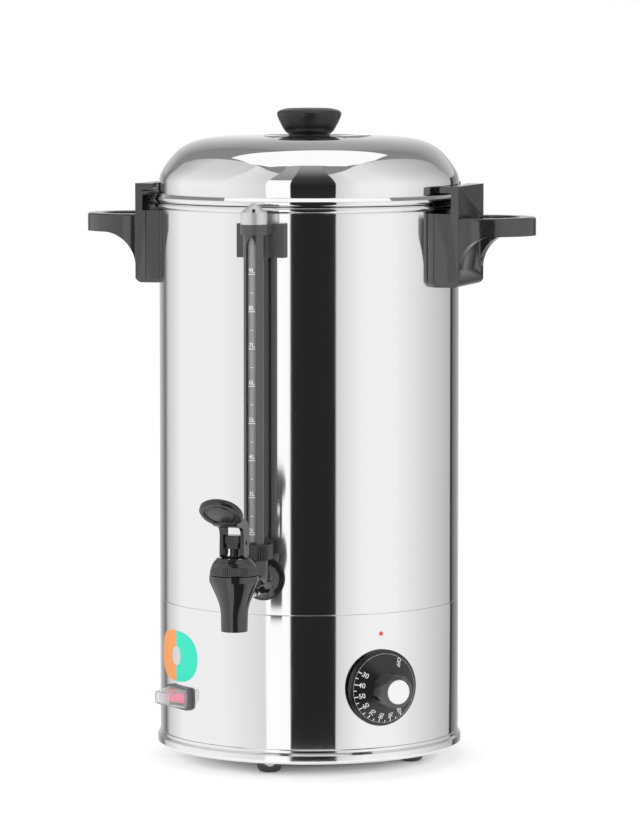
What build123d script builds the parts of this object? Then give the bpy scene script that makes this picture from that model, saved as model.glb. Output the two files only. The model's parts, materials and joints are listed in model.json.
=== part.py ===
from build123d import *
from math import cos, hypot, radians, sin, sqrt
import os

# Hot water urn: a steel tank on a steel base, a lift-off lid, two moulded handles,
# a draw-off tap with a sight gauge above it, a thermostat dial and a mains switch.
# Frame: origin on the tank's axis at the surface it stands on, +Z up, tap toward -Y.
# All sizes are in millimetres, all angles in degrees.

# ---- driving dimensions -----------------------------------------------------------
body_radius = 111.0  # outside of the tank and of the base shell
sheet = 0.8  # thickness of the steel sheet
foot_height = 11.0  # gap between the table and the base pan
shell_height = 97.5  # height of the visible base shell
floor_rise = 7.3  # tank floor above the seam between base and tank
tank_depth = 286.5  # from the tank floor to the top of its rim
lid_rise = 49.0  # from the tank rim to the crown of the lid
lid_lift_gap = 0.3  # lid and tank rims, apart at rest
fit_gap = 0.15  # between fixed pieces that fit into each other
run_gap = 0.4  # between pieces that move past each other
press_gap = 0.05  # between pieces pressed or screwed together
bearing_gap = 0.08  # between a shaft and its bearing

# base pan, feet and studs
pan_height = 10.4
pan_sheet = 1.5
pan_overhang = 1.9
pan_shoulder = 7.6  # height of the pan's straight side
pan_upstand = 5.5  # collar that centres the base shell
foot_radius = 9.0
foot_inset = 30.5  # foot axis inside the tank wall
foot_count = 4
foot_turn = -4.0
foot_screw_radius = 2.0
foot_screw_head = 4.0
stud_radius = 2.0
stud_inset = 15.0  # stud axis inside the tank wall
stud_count = 3
nut_radius = 4.0
nut_height = 3.2

# tank
joggle_depth = 8.0  # tank skirt inside the base shell
rim_radius = 2.2  # rolled rim of the tank
lid_bead_height = 5.4
lid_bead_rounding = 2.4

# lid
lid_wall_height = 9.7
lid_lip_depth = 8.0
lid_lip_gap = 1.2
dish_radius = 23.0  # shallow recess round the knob
dish_depth = 3.3
vent_radius = 2.0
vent_circle = 61.5
vent_count = 3
vent_turn = 72.0
lug_width = 8.0
lug_sheet = 1.0
lug_height = 8.5
lug_turn = 23.0  # from the handle's centre line, clear of the hooks
rivet_radius = 1.2

# knob
knob_radius = 23.9
knob_neck_radius = 15.2
knob_height = 22.9
knob_neck_height = 4.0
knob_edge_height = 19.2
knob_screw_radius = 2.5
knob_screw_head_radius = 4.8
knob_screw_length = 16.0
knob_washer_radius = 7.0
knob_washer_height = 1.2

# handles
handle_bottom = 53.7  # below the hook's inner ledge
handle_face = 13.0  # from the tank wall to the handle's outer face
handle_half_width = 35.5
handle_root_step = 0.7
handle_root_depth = 5.0
handle_foot_rounding = 4.0
handle_stock = 30.0  # block drawn in past the tank wall, then cut to it
ledge_drop = 6.7  # ledge below the tank rim's top
hook_wall = 5.5
hook_bar = 4.8
hook_height = 20.0  # hook top above the ledge
hook_tip_gap = 4.5  # hook tip from the tank wall
loop_radius = 37.0
loop_centre = 24.0  # loop centre from the tank wall
loop_hole_radius = 24.5
loop_height = 13.4
loop_drop = 3.0  # loop top below the ledge
loop_rounding = 1.8
gusset_radius = 25.0
handle_screw_radius = 2.5
handle_screw_head = 4.5
handle_screw_grip = 8.0
handle_screw_low = 12.0
handle_screw_high = 34.0
handle_washer_radius = 6.0
handle_washer_height = 1.0

# tap
tap_standoff = 67.5  # valve axis from the tank wall
tap_height = 19.3  # shank axis above the tank floor
shank_radius = 10.0
shank_bore = 4.5
thread_radius = 8.0
flange_radius = 15.0
flange_height = 4.0
tap_gasket_height = 2.0
valve_rim_radius = 17.7
valve_rim_height = 4.2
valve_rim_rise = 10.7  # rim top above the shank axis
spout_radius = 9.3
spout_bore = 6.5
spout_drop = 29.1  # spout mouth below the shank axis
waist_radius = 10.4
waist_drop = 11.5
seat_drop = 5.5  # valve seat below the shank axis
chamber_low_radius = 9.4
chamber_radius = 13.0
bonnet_height = 12.4
bonnet_top_radius = 12.0
bonnet_wall = 3.2
bonnet_spigot = 3.0
rib_count = 30
stem_radius = 3.0
stem_head_width = 12.0
stem_head_depth = 9.0
stem_head_height = 9.3
stem_head_cap = 5.0  # wide upper part of the stem's head
stem_head_rise = 5.2  # head's top above the pin
stem_head_step = 0.6
seat_cup_radius = 8.0
seat_cup_height = 6.0
stem_lift = 3.0
spring_wire = 0.9
spring_coil_radius = 5.4
spring_turns = 5
lever_lean = 50.5  # paddle lean from the vertical
lever_cheek = 2.6
lever_depth = 12.0
lever_heel_gap = 0.4
lever_pin_radius = 1.6
window_rise = 3.4  # window between the lever's cheeks, above the lifted stem
lever_pin_rise = 10.6  # pin above the bonnet
paddle_radius = 15.5
paddle_height = 5.0
paddle_offset = 37.8  # paddle centre from the pin, along the lean
paddle_dish = 11.5
backnut_radius = 13.0
backnut_height = 6.0

# sight gauge
gauge_standoff = 22.0  # tube axis from the tank wall
gauge_boss_radius = 10.2
gauge_boss_rise = 19.2  # boss top above the shank axis
gauge_nut_radius = 13.2
gauge_nut_top_radius = 11.6
gauge_nut_height = 11.4
gauge_tube_radius = 5.0
gauge_tube_bore = 3.2
gauge_shield_radius = 7.45
gauge_shield_bore = 5.5
gauge_slot = 7.5
gauge_slot_top = 19.5  # slot top below the tank rim
gauge_cap_radius = 9.5
gauge_cap_height = 15.4
gauge_cap_shoulder = 8.5
gauge_cap_rise = 4.0  # cap top above the tank rim
cap_vent_width = 2.2
cap_vent_height = 2.6
cap_vent_turn = 17.0
bracket_half_width = 17.7
bracket_height = 24.4
bracket_plate = 7.5
collar_height = 7.5
gauge_screw_radius = 1.6
gauge_screw_spread = 11.5

# thermostat and dial
dial_azimuth = 45.0
dial_drop = 53.7  # dial axis below the seam
dial_radius = 28.4
dial_skirt_height = 5.0
dial_skirt_gap = 1.2
dial_edge_height = 1.0  # upright edge of the skirt
dial_rim_height = 3.2  # skirt's sloping rim, up to its numbered face
dial_face_radius = 25.0
hub_radius = 13.6
hub_top_radius = 12.2
hub_height = 20.0
hub_sides = 8
hub_turn = -8.0
hub_rounding = 0.7
cap_radius = 8.75
cap_height = 1.6
shaft_radius = 3.0
thermostat_width = 34.0
thermostat_depth = 26.0
thermostat_nose = 5.5
thermostat_screw_rise = 11.5  # screws above and below the shaft
bulb_radius = 3.0
bulb_length = 70.0

# mains switch
switch_azimuth = -41.3
switch_drop = 67.1
switch_frame_width = 32.0
switch_frame_height = 16.5
switch_frame_proud = 2.4
switch_body_width = 27.5
switch_body_height = 11.5
switch_body_depth = 24.0
rocker_width = 18.6
rocker_height = 7.4
rocker_swing = 12.0
trunnion_radius = 1.2
trunnion_length = 0.9
cover_width = 27.2
cover_height = 14.0
cover_top_width = 21.6
cover_top_height = 9.3
cover_rise = 12.5
cover_wall = 1.0

# heater under the floor
heater_radius = 78.0
heater_height = 5.0
element_radius = 3.6
element_circle = 58.0
element_gap_angle = 40.0
terminal_radius = 4.2
terminal_drop = 16.0
clamp_width = 16.0
clamp_sheet = 2.0
cutout_radius = 8.5
cutout_height = 7.0

# mains inlet
gland_azimuth = 180.0
gland_drop = 72.0
gland_bore = 4.0
gland_thread_radius = 7.5
gland_dome_radius = 10.0
gland_dome_length = 14.0
gland_flange_radius = 11.5
gland_nut_radius = 11.5
gland_nut_height = 5.0
block_width = 36.0
block_depth = 18.0
block_height = 14.0

# ---- levels and radii that follow -------------------------------------------------
pan_z = foot_height
shell_z = pan_z + pan_height
seam_z = shell_z + shell_height
floor_z = seam_z + floor_rise
rim_z = floor_z + tank_depth
inner_radius = body_radius - sheet
foot_circle = body_radius - foot_inset
stud_circle = body_radius - stud_inset
tap_reach = body_radius + tap_standoff
gauge_reach = body_radius + gauge_standoff
rim_centre_radius = body_radius + rim_radius / 3
rim_outer_radius = rim_centre_radius + rim_radius
lid_z = rim_z + lid_lift_gap
lid_wall_z = lid_z + lid_bead_height
shoulder_z = lid_wall_z + lid_wall_height
crown_z = rim_z + lid_rise
dish_z = crown_z - dish_depth
ledge_z = rim_z - ledge_drop
hook_z = ledge_z + hook_height
handle_x = body_radius + handle_face
loop_x = body_radius + loop_centre
loop_top_z = ledge_z - loop_drop
loop_low_z = loop_top_z - loop_height
handle_low_z = ledge_z - handle_bottom
shank_z = floor_z + tap_height
valve_rim_z = shank_z + valve_rim_rise
bonnet_top_z = valve_rim_z + bonnet_height
seat_z = shank_z - seat_drop
spout_z = shank_z - spout_drop
pin_z = bonnet_top_z + lever_pin_rise
boss_top_z = shank_z + gauge_boss_rise
gauge_nut_z = boss_top_z - 0.25 * gauge_nut_height
gauge_nut_top_z = gauge_nut_z + gauge_nut_height
cap_top_z = rim_z + gauge_cap_rise
cap_low_z = cap_top_z - gauge_cap_height
bracket_low_z = cap_low_z - bracket_height
dial_z = seam_z - dial_drop
switch_z = seam_z - switch_drop
gland_z = seam_z - gland_drop
heater_low_z = floor_z - sheet - heater_height


def outward(azimuth, radius, height):
    """Plane that faces out of the body; azimuth 0 is the tap side, its y axis points up."""
    out = (sin(radians(azimuth)), -cos(radians(azimuth)), 0)
    return Plane(
        origin=(radius * out[0], radius * out[1], height),
        x_dir=(-out[1], out[0], 0),
        z_dir=out,
    )


def upright(reach):
    """Upright plane through a vertical axis that stands reach in front of the body's axis."""
    return Plane(origin=(0, -reach, 0), x_dir=(1, 0, 0), z_dir=(0, -1, 0))


def upright_axis(reach):
    """The vertical axis of that plane."""
    return Axis((0, -reach, 0), (0, 0, 1))


def save(piece, name):
    """Label a finished piece and write it to its own file."""
    piece.part.label = name
    export_step(piece.part, f"parts/{name}.step")


os.makedirs("parts", exist_ok=True)

# ---- tank -------------------------------------------------------------------------
tap_hole = thread_radius + fit_gap
handle_screw_zs = (handle_low_z + handle_screw_low, handle_low_z + handle_screw_high)
skirt_radius = inner_radius - fit_gap
floor_seat_z = floor_z - sheet - press_gap
bracket_screw_z = cap_low_z - 0.6 * bracket_height

with BuildPart() as tank:
    with BuildSketch(Plane.XZ):
        with BuildLine():
            Polyline(
                (inner_radius, floor_seat_z),
                (inner_radius, rim_z - rim_radius),
                (body_radius, rim_z - rim_radius),
                (body_radius, seam_z),
                (skirt_radius, seam_z),
                (skirt_radius, seam_z - joggle_depth),
                (skirt_radius - sheet, seam_z - joggle_depth),
                (skirt_radius - sheet, floor_seat_z),
                close=True,
            )
        make_face()
        with Locations((rim_centre_radius, rim_z - rim_radius)):
            Circle(rim_radius)
    revolve(axis=Axis.Z)
    with BuildSketch(outward(0, inner_radius - 2, shank_z)):
        Circle(tap_hole)
    extrude(amount=sheet + 4, mode=Mode.SUBTRACT)
    for side in (90, -90):
        for height in handle_screw_zs:
            with BuildSketch(outward(side, inner_radius - 2, height)):
                Circle(handle_screw_radius + fit_gap)
            extrude(amount=sheet + 4, mode=Mode.SUBTRACT)
    for offset in (-gauge_screw_spread, gauge_screw_spread):
        with BuildSketch(outward(0, inner_radius - 4, bracket_screw_z)):
            with Locations((offset, 0)):
                Circle(gauge_screw_radius + fit_gap)
        extrude(amount=sheet + 6, mode=Mode.SUBTRACT)
save(tank, "tank")

with BuildPart() as tank_floor:
    with BuildSketch(Plane.XY.offset(floor_z - sheet)):
        Circle(inner_radius - press_gap)
    extrude(amount=sheet)
save(tank_floor, "tank_floor")

# ---- base shell, pan, feet and studs ----------------------------------------------
with BuildPart() as base_shell:
    with BuildSketch(Plane.XY.offset(shell_z)):
        Circle(body_radius)
        Circle(inner_radius, mode=Mode.SUBTRACT)
    extrude(amount=shell_height)
    with BuildSketch(outward(dial_azimuth, inner_radius - 3, dial_z)):
        Circle(thermostat_nose + fit_gap)
    extrude(amount=sheet + 5, mode=Mode.SUBTRACT)
    with BuildSketch(outward(dial_azimuth, inner_radius - 3, dial_z)):
        with Locations((0, thermostat_screw_rise), (0, -thermostat_screw_rise)):
            Circle(foot_screw_radius + fit_gap)
    extrude(amount=sheet + 5, mode=Mode.SUBTRACT)
    with BuildSketch(outward(switch_azimuth, inner_radius - 6, switch_z)):
        Rectangle(switch_body_width + 2 * fit_gap, switch_body_height + 2 * fit_gap)
    extrude(amount=sheet + 8, mode=Mode.SUBTRACT)
    with BuildSketch(outward(gland_azimuth, inner_radius - 3, gland_z)):
        Circle(gland_thread_radius + fit_gap)
    extrude(amount=sheet + 5, mode=Mode.SUBTRACT)
save(base_shell, "base_shell")

pan_radius = body_radius + pan_overhang
pan_wall = 3.0
vent_slot_length = 22.0
vent_slot_width = 3.0
vent_slot_count = 12
vent_slot_circle = 45.0

with BuildPart() as base_pan:
    with BuildSketch(Plane.XZ):
        with BuildLine():
            Polyline(
                (0, pan_z),
                (pan_radius - 0.8, pan_z),
                (pan_radius, pan_z + 0.8),
                (pan_radius - 0.4, pan_z + pan_shoulder),
                (body_radius + 0.4, shell_z),
                (inner_radius - fit_gap, shell_z),
                (inner_radius - fit_gap, shell_z + pan_upstand),
                (inner_radius - fit_gap - pan_sheet, shell_z + pan_upstand),
                (inner_radius - fit_gap - pan_wall, shell_z - 2),
                (inner_radius - fit_gap - pan_wall, pan_z + pan_sheet),
                (0, pan_z + pan_sheet),
                close=True,
            )
        make_face()
    revolve(axis=Axis.Z)
    with BuildSketch(Plane.XY.offset(pan_z)):
        with PolarLocations(foot_circle, foot_count, start_angle=foot_turn):
            Circle(foot_screw_radius + fit_gap)
        with PolarLocations(stud_circle, stud_count, start_angle=30):
            Circle(stud_radius + fit_gap)
        with PolarLocations(vent_slot_circle, vent_slot_count):
            SlotOverall(vent_slot_length, vent_slot_width)
    extrude(amount=pan_sheet, mode=Mode.SUBTRACT)
save(base_pan, "base_pan")

screw_head_height = 2.4
foot_floor = 4.5  # rubber left above the screw's head
with BuildPart() as feet:
    with BuildSketch(Plane.XZ):
        with BuildLine():
            Polyline(
                (foot_screw_head + 1.2, 0),
                (foot_radius - 1.2, 0),
                (foot_radius, 1.2),
                (foot_radius, foot_height),
                (foot_screw_radius + fit_gap, foot_height),
                (foot_screw_radius + fit_gap, foot_height - foot_floor),
                (foot_screw_head + 1.2, foot_height - foot_floor),
                close=True,
            )
        make_face()
    foot_solid = revolve(axis=Axis.Z, mode=Mode.PRIVATE)
    with PolarLocations(foot_circle, foot_count, start_angle=foot_turn):
        add(foot_solid)
save(feet, "feet")

with BuildPart() as foot_screws:
    with PolarLocations(foot_circle, foot_count, start_angle=foot_turn):
        with Locations((0, 0, foot_height - foot_floor - screw_head_height)):
            Cylinder(foot_screw_head, screw_head_height, align=(Align.CENTER, Align.CENTER, Align.MIN))
            Cylinder(
                foot_screw_radius,
                screw_head_height + foot_floor + pan_sheet + 2,
                align=(Align.CENTER, Align.CENTER, Align.MIN),
            )
save(foot_screws, "foot_screws")

stud_low_z = pan_z - nut_height - 1.0
with BuildPart() as tie_studs:
    with BuildSketch(Plane.XY.offset(stud_low_z)):
        with PolarLocations(stud_circle, stud_count, start_angle=30):
            Circle(stud_radius)
    extrude(amount=floor_z - sheet - stud_low_z)
save(tie_studs, "tie_studs")

with BuildPart() as tie_nuts:
    with BuildSketch(Plane.XY.offset(pan_z - nut_height)):
        with PolarLocations(stud_circle, stud_count, start_angle=30):
            RegularPolygon(nut_radius, 6)
            Circle(stud_radius + press_gap, mode=Mode.SUBTRACT)
    extrude(amount=nut_height)
save(tie_nuts, "tie_nuts")

# ---- heater under the tank floor --------------------------------------------------
element_z = heater_low_z - 0.4 * element_radius
half_gap = element_gap_angle / 2
with BuildPart() as heater_plate:
    with BuildSketch(Plane.XY.offset(heater_low_z)):
        Circle(heater_radius)
    extrude(amount=heater_height)
    chamfer(heater_plate.edges().group_by(Axis.Z)[0], 1.0)
    with BuildSketch(Plane.XZ):
        with Locations((element_circle, element_z)):
            Circle(element_radius + fit_gap)
    revolve(axis=Axis.Z, mode=Mode.SUBTRACT)
save(heater_plate, "heater_plate")

element_start = Plane(
    origin=(0, 0, 0),
    x_dir=(cos(radians(half_gap)), sin(radians(half_gap)), 0),
    z_dir=(sin(radians(half_gap)), -cos(radians(half_gap)), 0),
)
with BuildPart() as heating_element:
    with BuildSketch(element_start):
        with Locations((element_circle, element_z)):
            Circle(element_radius)
    revolve(axis=Axis.Z, revolution_arc=360 - element_gap_angle)
    for turn in (half_gap, -half_gap):
        with Locations(
            (element_circle * cos(radians(turn)), element_circle * sin(radians(turn)), element_z)
        ):
            Sphere(element_radius)
            Cylinder(
                element_radius, terminal_drop, align=(Align.CENTER, Align.CENTER, Align.MAX)
            )
save(heating_element, "heating_element")

tab_width = 6.3
tab_sheet = 0.8
with BuildPart() as element_terminals:
    for turn in (half_gap, -half_gap):
        with Locations(
            Location(
                (
                    element_circle * cos(radians(turn)),
                    element_circle * sin(radians(turn)),
                    element_z - terminal_drop,
                )
            )
        ):
            Cylinder(terminal_radius, 5.0, align=(Align.CENTER, Align.CENTER, Align.MAX))
            Box(tab_sheet, tab_width, 14.0, align=(Align.CENTER, Align.CENTER, Align.MAX))
save(element_terminals, "element_terminals")

clamp_z = heater_low_z - 1.4 * element_radius - fit_gap - clamp_sheet
clamp_stud_radius = 3.0
with BuildPart() as heater_clamp:
    with BuildSketch(Plane.XY.offset(clamp_z)):
        Rectangle(clamp_width, 2 * element_circle + 2 * element_radius)
        Circle(clamp_stud_radius + fit_gap, mode=Mode.SUBTRACT)
    extrude(amount=clamp_sheet)
save(heater_clamp, "heater_clamp")

clamp_nut_radius = 6.0
clamp_nut_height = 5.0
with BuildPart() as clamp_bolt:
    with BuildSketch(Plane.XY.offset(clamp_z - clamp_nut_height)):
        RegularPolygon(clamp_nut_radius, 6)
    extrude(amount=clamp_nut_height)
    with BuildSketch(Plane.XY.offset(clamp_z)):
        Circle(clamp_stud_radius)
    extrude(amount=heater_low_z - clamp_z)
save(clamp_bolt, "clamp_bolt")

cutout_x = -30.0
with BuildPart() as thermal_cutout:
    with BuildSketch(Plane.XY.offset(heater_low_z - cutout_height)):
        with Locations((cutout_x, 0)):
            Circle(cutout_radius)
    extrude(amount=cutout_height)
    with Locations(
        (cutout_x, cutout_radius - 3, heater_low_z - cutout_height),
        (cutout_x, 3 - cutout_radius, heater_low_z - cutout_height),
    ):
        Box(tab_width, tab_sheet, 9.0, align=(Align.CENTER, Align.CENTER, Align.MAX))
save(thermal_cutout, "thermal_cutout")

# ---- thermostat behind the dial ---------------------------------------------------
thermostat_face = sqrt(inner_radius**2 - (thermostat_width / 2) ** 2) - 0.5
nose_length = body_radius + 1.0 - thermostat_face
shaft_back = thermostat_face - 8.0
thermostat_back = thermostat_face - thermostat_depth

with BuildPart() as thermostat_body:
    with BuildSketch(outward(dial_azimuth, thermostat_back, dial_z)):
        RectangleRounded(thermostat_width, thermostat_width, 3)
    extrude(amount=thermostat_depth)
    with BuildSketch(outward(dial_azimuth, thermostat_face, dial_z)):
        Circle(thermostat_nose)
    extrude(amount=nose_length)
    with BuildSketch(outward(dial_azimuth, shaft_back, dial_z)):
        Circle(shaft_radius + bearing_gap)
    extrude(amount=nose_length + 20, mode=Mode.SUBTRACT)
    with BuildSketch(outward(dial_azimuth, thermostat_face - 6, dial_z)):
        with Locations((0, thermostat_screw_rise), (0, -thermostat_screw_rise)):
            Circle(foot_screw_radius + press_gap)
    extrude(amount=20, mode=Mode.SUBTRACT)
save(thermostat_body, "thermostat_body")

with BuildPart() as thermostat_screws:
    with BuildSketch(outward(dial_azimuth, thermostat_face - 5, dial_z)):
        with Locations((0, thermostat_screw_rise), (0, -thermostat_screw_rise)):
            Circle(foot_screw_radius)
    extrude(amount=body_radius + 0.2 - thermostat_face + 5)
    with BuildSketch(outward(dial_azimuth, body_radius + 0.1, dial_z)):
        with Locations((0, thermostat_screw_rise), (0, -thermostat_screw_rise)):
            Circle(foot_screw_head - 0.4)
    extrude(amount=1.0)
save(thermostat_screws, "thermostat_screws")

bulb_x = 30.0
bulb_lie_z = heater_low_z - bulb_radius
with BuildPart() as thermostat_bulb:
    with BuildSketch(Plane.XZ.offset(bulb_length / 2)):
        with Locations((bulb_x, bulb_lie_z)):
            Circle(bulb_radius)
    extrude(amount=-bulb_length)
    fillet(thermostat_bulb.edges().filter_by(GeomType.CIRCLE), 1.5)
save(thermostat_bulb, "thermostat_bulb")

clip_wall = 0.8
with BuildPart() as bulb_clips:
    for clip_y in (-0.3 * bulb_length, 0.3 * bulb_length):
        with BuildSketch(Plane.XZ.offset(-clip_y - 3)):
            with Locations((bulb_x, bulb_lie_z)):
                Circle(bulb_radius + fit_gap + clip_wall)
            with Locations((bulb_x, heater_low_z)):
                Rectangle(
                    4 * bulb_radius + 4, 2 * clip_wall, align=(Align.CENTER, Align.CENTER)
                )
            with Locations((bulb_x, bulb_lie_z)):
                Circle(bulb_radius + fit_gap, mode=Mode.SUBTRACT)
            with Locations((bulb_x, heater_low_z)):
                Rectangle(
                    8 * bulb_radius, 4 * bulb_radius, align=(Align.CENTER, Align.MIN),
                    mode=Mode.SUBTRACT,
                )
        extrude(amount=6)
save(bulb_clips, "bulb_clips")

# ---- dial -------------------------------------------------------------------------
skirt_back = body_radius + dial_skirt_gap
hub_back = skirt_back + 1.2
cap_back = skirt_back + dial_skirt_height + hub_height

with BuildPart() as dial_skirt:
    with BuildSketch(outward(dial_azimuth, skirt_back, dial_z)):
        Circle(dial_radius)
    extrude(amount=dial_edge_height)
    with BuildSketch(outward(dial_azimuth, skirt_back + dial_edge_height, dial_z)):
        Circle(dial_radius)
    with BuildSketch(outward(dial_azimuth, skirt_back + dial_rim_height, dial_z)):
        Circle(dial_face_radius)
    loft()
    with BuildSketch(outward(dial_azimuth, skirt_back + dial_rim_height, dial_z)):
        Circle(dial_face_radius)
    with BuildSketch(outward(dial_azimuth, skirt_back + dial_skirt_height, dial_z)):
        Circle(hub_radius + 0.8)
    loft()
    with BuildSketch(outward(dial_azimuth, skirt_back, dial_z)):
        Circle(dial_radius - 3.0)
    extrude(amount=1.2, mode=Mode.SUBTRACT)
    with BuildSketch(outward(dial_azimuth, skirt_back, dial_z)):
        Circle(shaft_radius + 2.5)
    extrude(amount=dial_skirt_height, mode=Mode.SUBTRACT)
save(dial_skirt, "dial_skirt")

with BuildPart() as dial_hub:
    with BuildSketch(outward(dial_azimuth, skirt_back + dial_skirt_height, dial_z)):
        RegularPolygon(hub_radius, hub_sides, rotation=180 / hub_sides + hub_turn)
    with BuildSketch(outward(dial_azimuth, cap_back, dial_z)):
        RegularPolygon(hub_top_radius, hub_sides, rotation=180 / hub_sides + hub_turn)
    loft()
    fillet(dial_hub.edges(), hub_rounding)
    with BuildSketch(outward(dial_azimuth, hub_back, dial_z)):
        Circle(shaft_radius + 2.3)
    extrude(amount=dial_skirt_height)
    with BuildSketch(outward(dial_azimuth, hub_back, dial_z)):
        Circle(shaft_radius + press_gap)
    extrude(amount=hub_height - 4, mode=Mode.SUBTRACT)
    with BuildSketch(outward(dial_azimuth, cap_back - cap_height, dial_z)):
        Circle(cap_radius + fit_gap)
    extrude(amount=cap_height + 1, mode=Mode.SUBTRACT)
save(dial_hub, "dial_hub")

with BuildPart() as dial_cap:
    with BuildSketch(outward(dial_azimuth, cap_back - cap_height, dial_z)):
        Circle(cap_radius)
    extrude(amount=cap_height + 0.6)
    dial_cap_rim = dial_cap.edges().filter_by(GeomType.CIRCLE).sort_by(
        lambda edge: hypot(edge.center().X, edge.center().Y)
    )
    fillet(dial_cap_rim[-1], 0.5)
save(dial_cap, "dial_cap")

with BuildPart() as dial_shaft:
    with BuildSketch(outward(dial_azimuth, shaft_back + 0.5, dial_z)):
        Circle(shaft_radius)
    extrude(amount=hub_back + hub_height - 5 - shaft_back - 0.5)
save(dial_shaft, "dial_shaft")

# ---- mains switch -----------------------------------------------------------------
frame_face = body_radius + switch_frame_proud
rocker_face = frame_face + 0.8
cover_face = frame_face + cover_rise
rocker_pivot = frame_face - 3.0
body_back = frame_face - switch_body_depth

with BuildPart() as switch_gasket:
    with BuildSketch(outward(switch_azimuth, body_radius - 8, switch_z)):
        RectangleRounded(switch_frame_width, switch_frame_height, 3.2)
        Rectangle(
            switch_body_width + 2 * fit_gap, switch_body_height + 2 * fit_gap, mode=Mode.SUBTRACT
        )
    extrude(amount=8 + switch_frame_proud)
    with BuildSketch(Plane.XY.offset(switch_z - switch_frame_height)):
        Circle(body_radius + fit_gap)
    extrude(amount=2 * switch_frame_height, mode=Mode.SUBTRACT)
save(switch_gasket, "switch_gasket")

pocket_depth = 9.0
with BuildPart() as switch_housing:
    with BuildSketch(outward(switch_azimuth, body_back, switch_z)):
        Rectangle(switch_body_width, switch_body_height)
    extrude(amount=switch_body_depth)
    with BuildSketch(outward(switch_azimuth, frame_face - pocket_depth, switch_z)):
        Rectangle(rocker_width + 2 * run_gap + 1.6, rocker_height + 2 * run_gap)
    extrude(amount=pocket_depth + 1, mode=Mode.SUBTRACT)
    with Locations(Location(outward(switch_azimuth, rocker_pivot, switch_z).origin)):
        Cylinder(
            trunnion_radius + bearing_gap,
            rocker_height + 2 * (run_gap + trunnion_length + press_gap),
            mode=Mode.SUBTRACT,
        )
    with BuildSketch(outward(switch_azimuth, body_back - 7, switch_z)):
        with Locations((-8, 0), (0, 0), (8, 0)):
            Rectangle(tab_sheet, tab_width)
    extrude(amount=7)
save(switch_housing, "switch_housing")

rocker_tilt = radians(switch_azimuth + rocker_swing)
rocker_top = rocker_face - rocker_pivot
with BuildPart() as rocker:
    with BuildSketch(
        Plane(
            origin=outward(switch_azimuth, rocker_pivot, switch_z).origin,
            x_dir=(cos(rocker_tilt), sin(rocker_tilt), 0),
            z_dir=(0, 0, -1),
        )
    ):
        with BuildLine():
            Polyline(
                (-rocker_width / 2, rocker_top + 0.6),
                (-rocker_width / 2 + 0.4, -1.5),
                (-4, -3.8),
                (4, -3.8),
                (rocker_width / 2 - 0.4, -1.5),
                (rocker_width / 2, rocker_top + 0.6),
            )
            ThreePointArc(
                (-rocker_width / 2, rocker_top + 0.6),
                (0, rocker_top - 0.9),
                (rocker_width / 2, rocker_top + 0.6),
            )
        make_face()
    extrude(amount=rocker_height / 2, both=True)
    with Locations(Location(outward(switch_azimuth, rocker_pivot, switch_z).origin)):
        Cylinder(trunnion_radius, rocker_height + 2 * (run_gap + trunnion_length))
save(rocker, "rocker")

with BuildPart() as splash_cover:
    with BuildSketch(outward(switch_azimuth, frame_face, switch_z)):
        RectangleRounded(cover_width, cover_height, 2.6)
    with BuildSketch(outward(switch_azimuth, cover_face, switch_z)):
        RectangleRounded(cover_top_width, cover_top_height, 2.6)
    loft()
    with BuildSketch(outward(switch_azimuth, frame_face, switch_z)):
        RectangleRounded(cover_width - 2 * cover_wall, cover_height - 2 * cover_wall, 1.6)
    with BuildSketch(outward(switch_azimuth, cover_face - cover_wall, switch_z)):
        RectangleRounded(
            cover_top_width - 2 * cover_wall + 1, cover_top_height - 2 * cover_wall + 0.5, 1.6
        )
    loft(mode=Mode.SUBTRACT)
save(splash_cover, "splash_cover")

# ---- mains inlet and terminal block -----------------------------------------------
gland_in = inner_radius - gland_nut_height - 4
with BuildPart() as cable_gland:
    with BuildSketch(outward(gland_azimuth, gland_in, gland_z)):
        Circle(gland_thread_radius)
    extrude(amount=body_radius - gland_in)
    with BuildSketch(outward(gland_azimuth, body_radius + fit_gap, gland_z)):
        RegularPolygon(gland_flange_radius, 6)
    extrude(amount=4.0)
    with BuildSketch(outward(gland_azimuth, body_radius - 1, gland_z)):
        Circle(gland_thread_radius)
    extrude(amount=4.0)
    with BuildSketch(outward(gland_azimuth, body_radius + 4, gland_z)):
        Circle(gland_dome_radius)
    with BuildSketch(outward(gland_azimuth, body_radius + 4 + gland_dome_length, gland_z)):
        Circle(gland_dome_radius - 3.2)
    loft()
    with BuildSketch(outward(gland_azimuth, gland_in, gland_z)):
        Circle(gland_bore + 1.5)
    extrude(amount=body_radius + 4 - gland_in, mode=Mode.SUBTRACT)
    with BuildSketch(outward(gland_azimuth, body_radius + 3, gland_z)):
        Circle(gland_bore)
    extrude(amount=gland_dome_length + 2, mode=Mode.SUBTRACT)
save(cable_gland, "cable_gland")

nut_face = sqrt(inner_radius**2 - gland_nut_radius**2) - 0.1
with BuildPart() as gland_nut:
    with BuildSketch(outward(gland_azimuth, nut_face - gland_nut_height, gland_z)):
        RegularPolygon(gland_nut_radius, 6)
        Circle(gland_thread_radius + press_gap, mode=Mode.SUBTRACT)
    extrude(amount=gland_nut_height)
save(gland_nut, "gland_nut")

block_y = 40.0
with BuildPart() as terminal_block:
    with BuildSketch(Plane.XY.offset(pan_z + pan_sheet)):
        with Locations((0, block_y)):
            Rectangle(block_width, block_depth)
    extrude(amount=block_height)
    with BuildSketch(Plane.XY.offset(pan_z + pan_sheet + block_height)):
        with Locations((0, block_y)):
            with GridLocations(block_width / 3, block_depth / 2, 3, 2):
                Circle(2.2)
    extrude(amount=-6, mode=Mode.SUBTRACT)
    chamfer(terminal_block.faces().sort_by(Axis.Z)[-1].outer_wire().edges(), 0.8)
save(terminal_block, "terminal_block")

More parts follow.
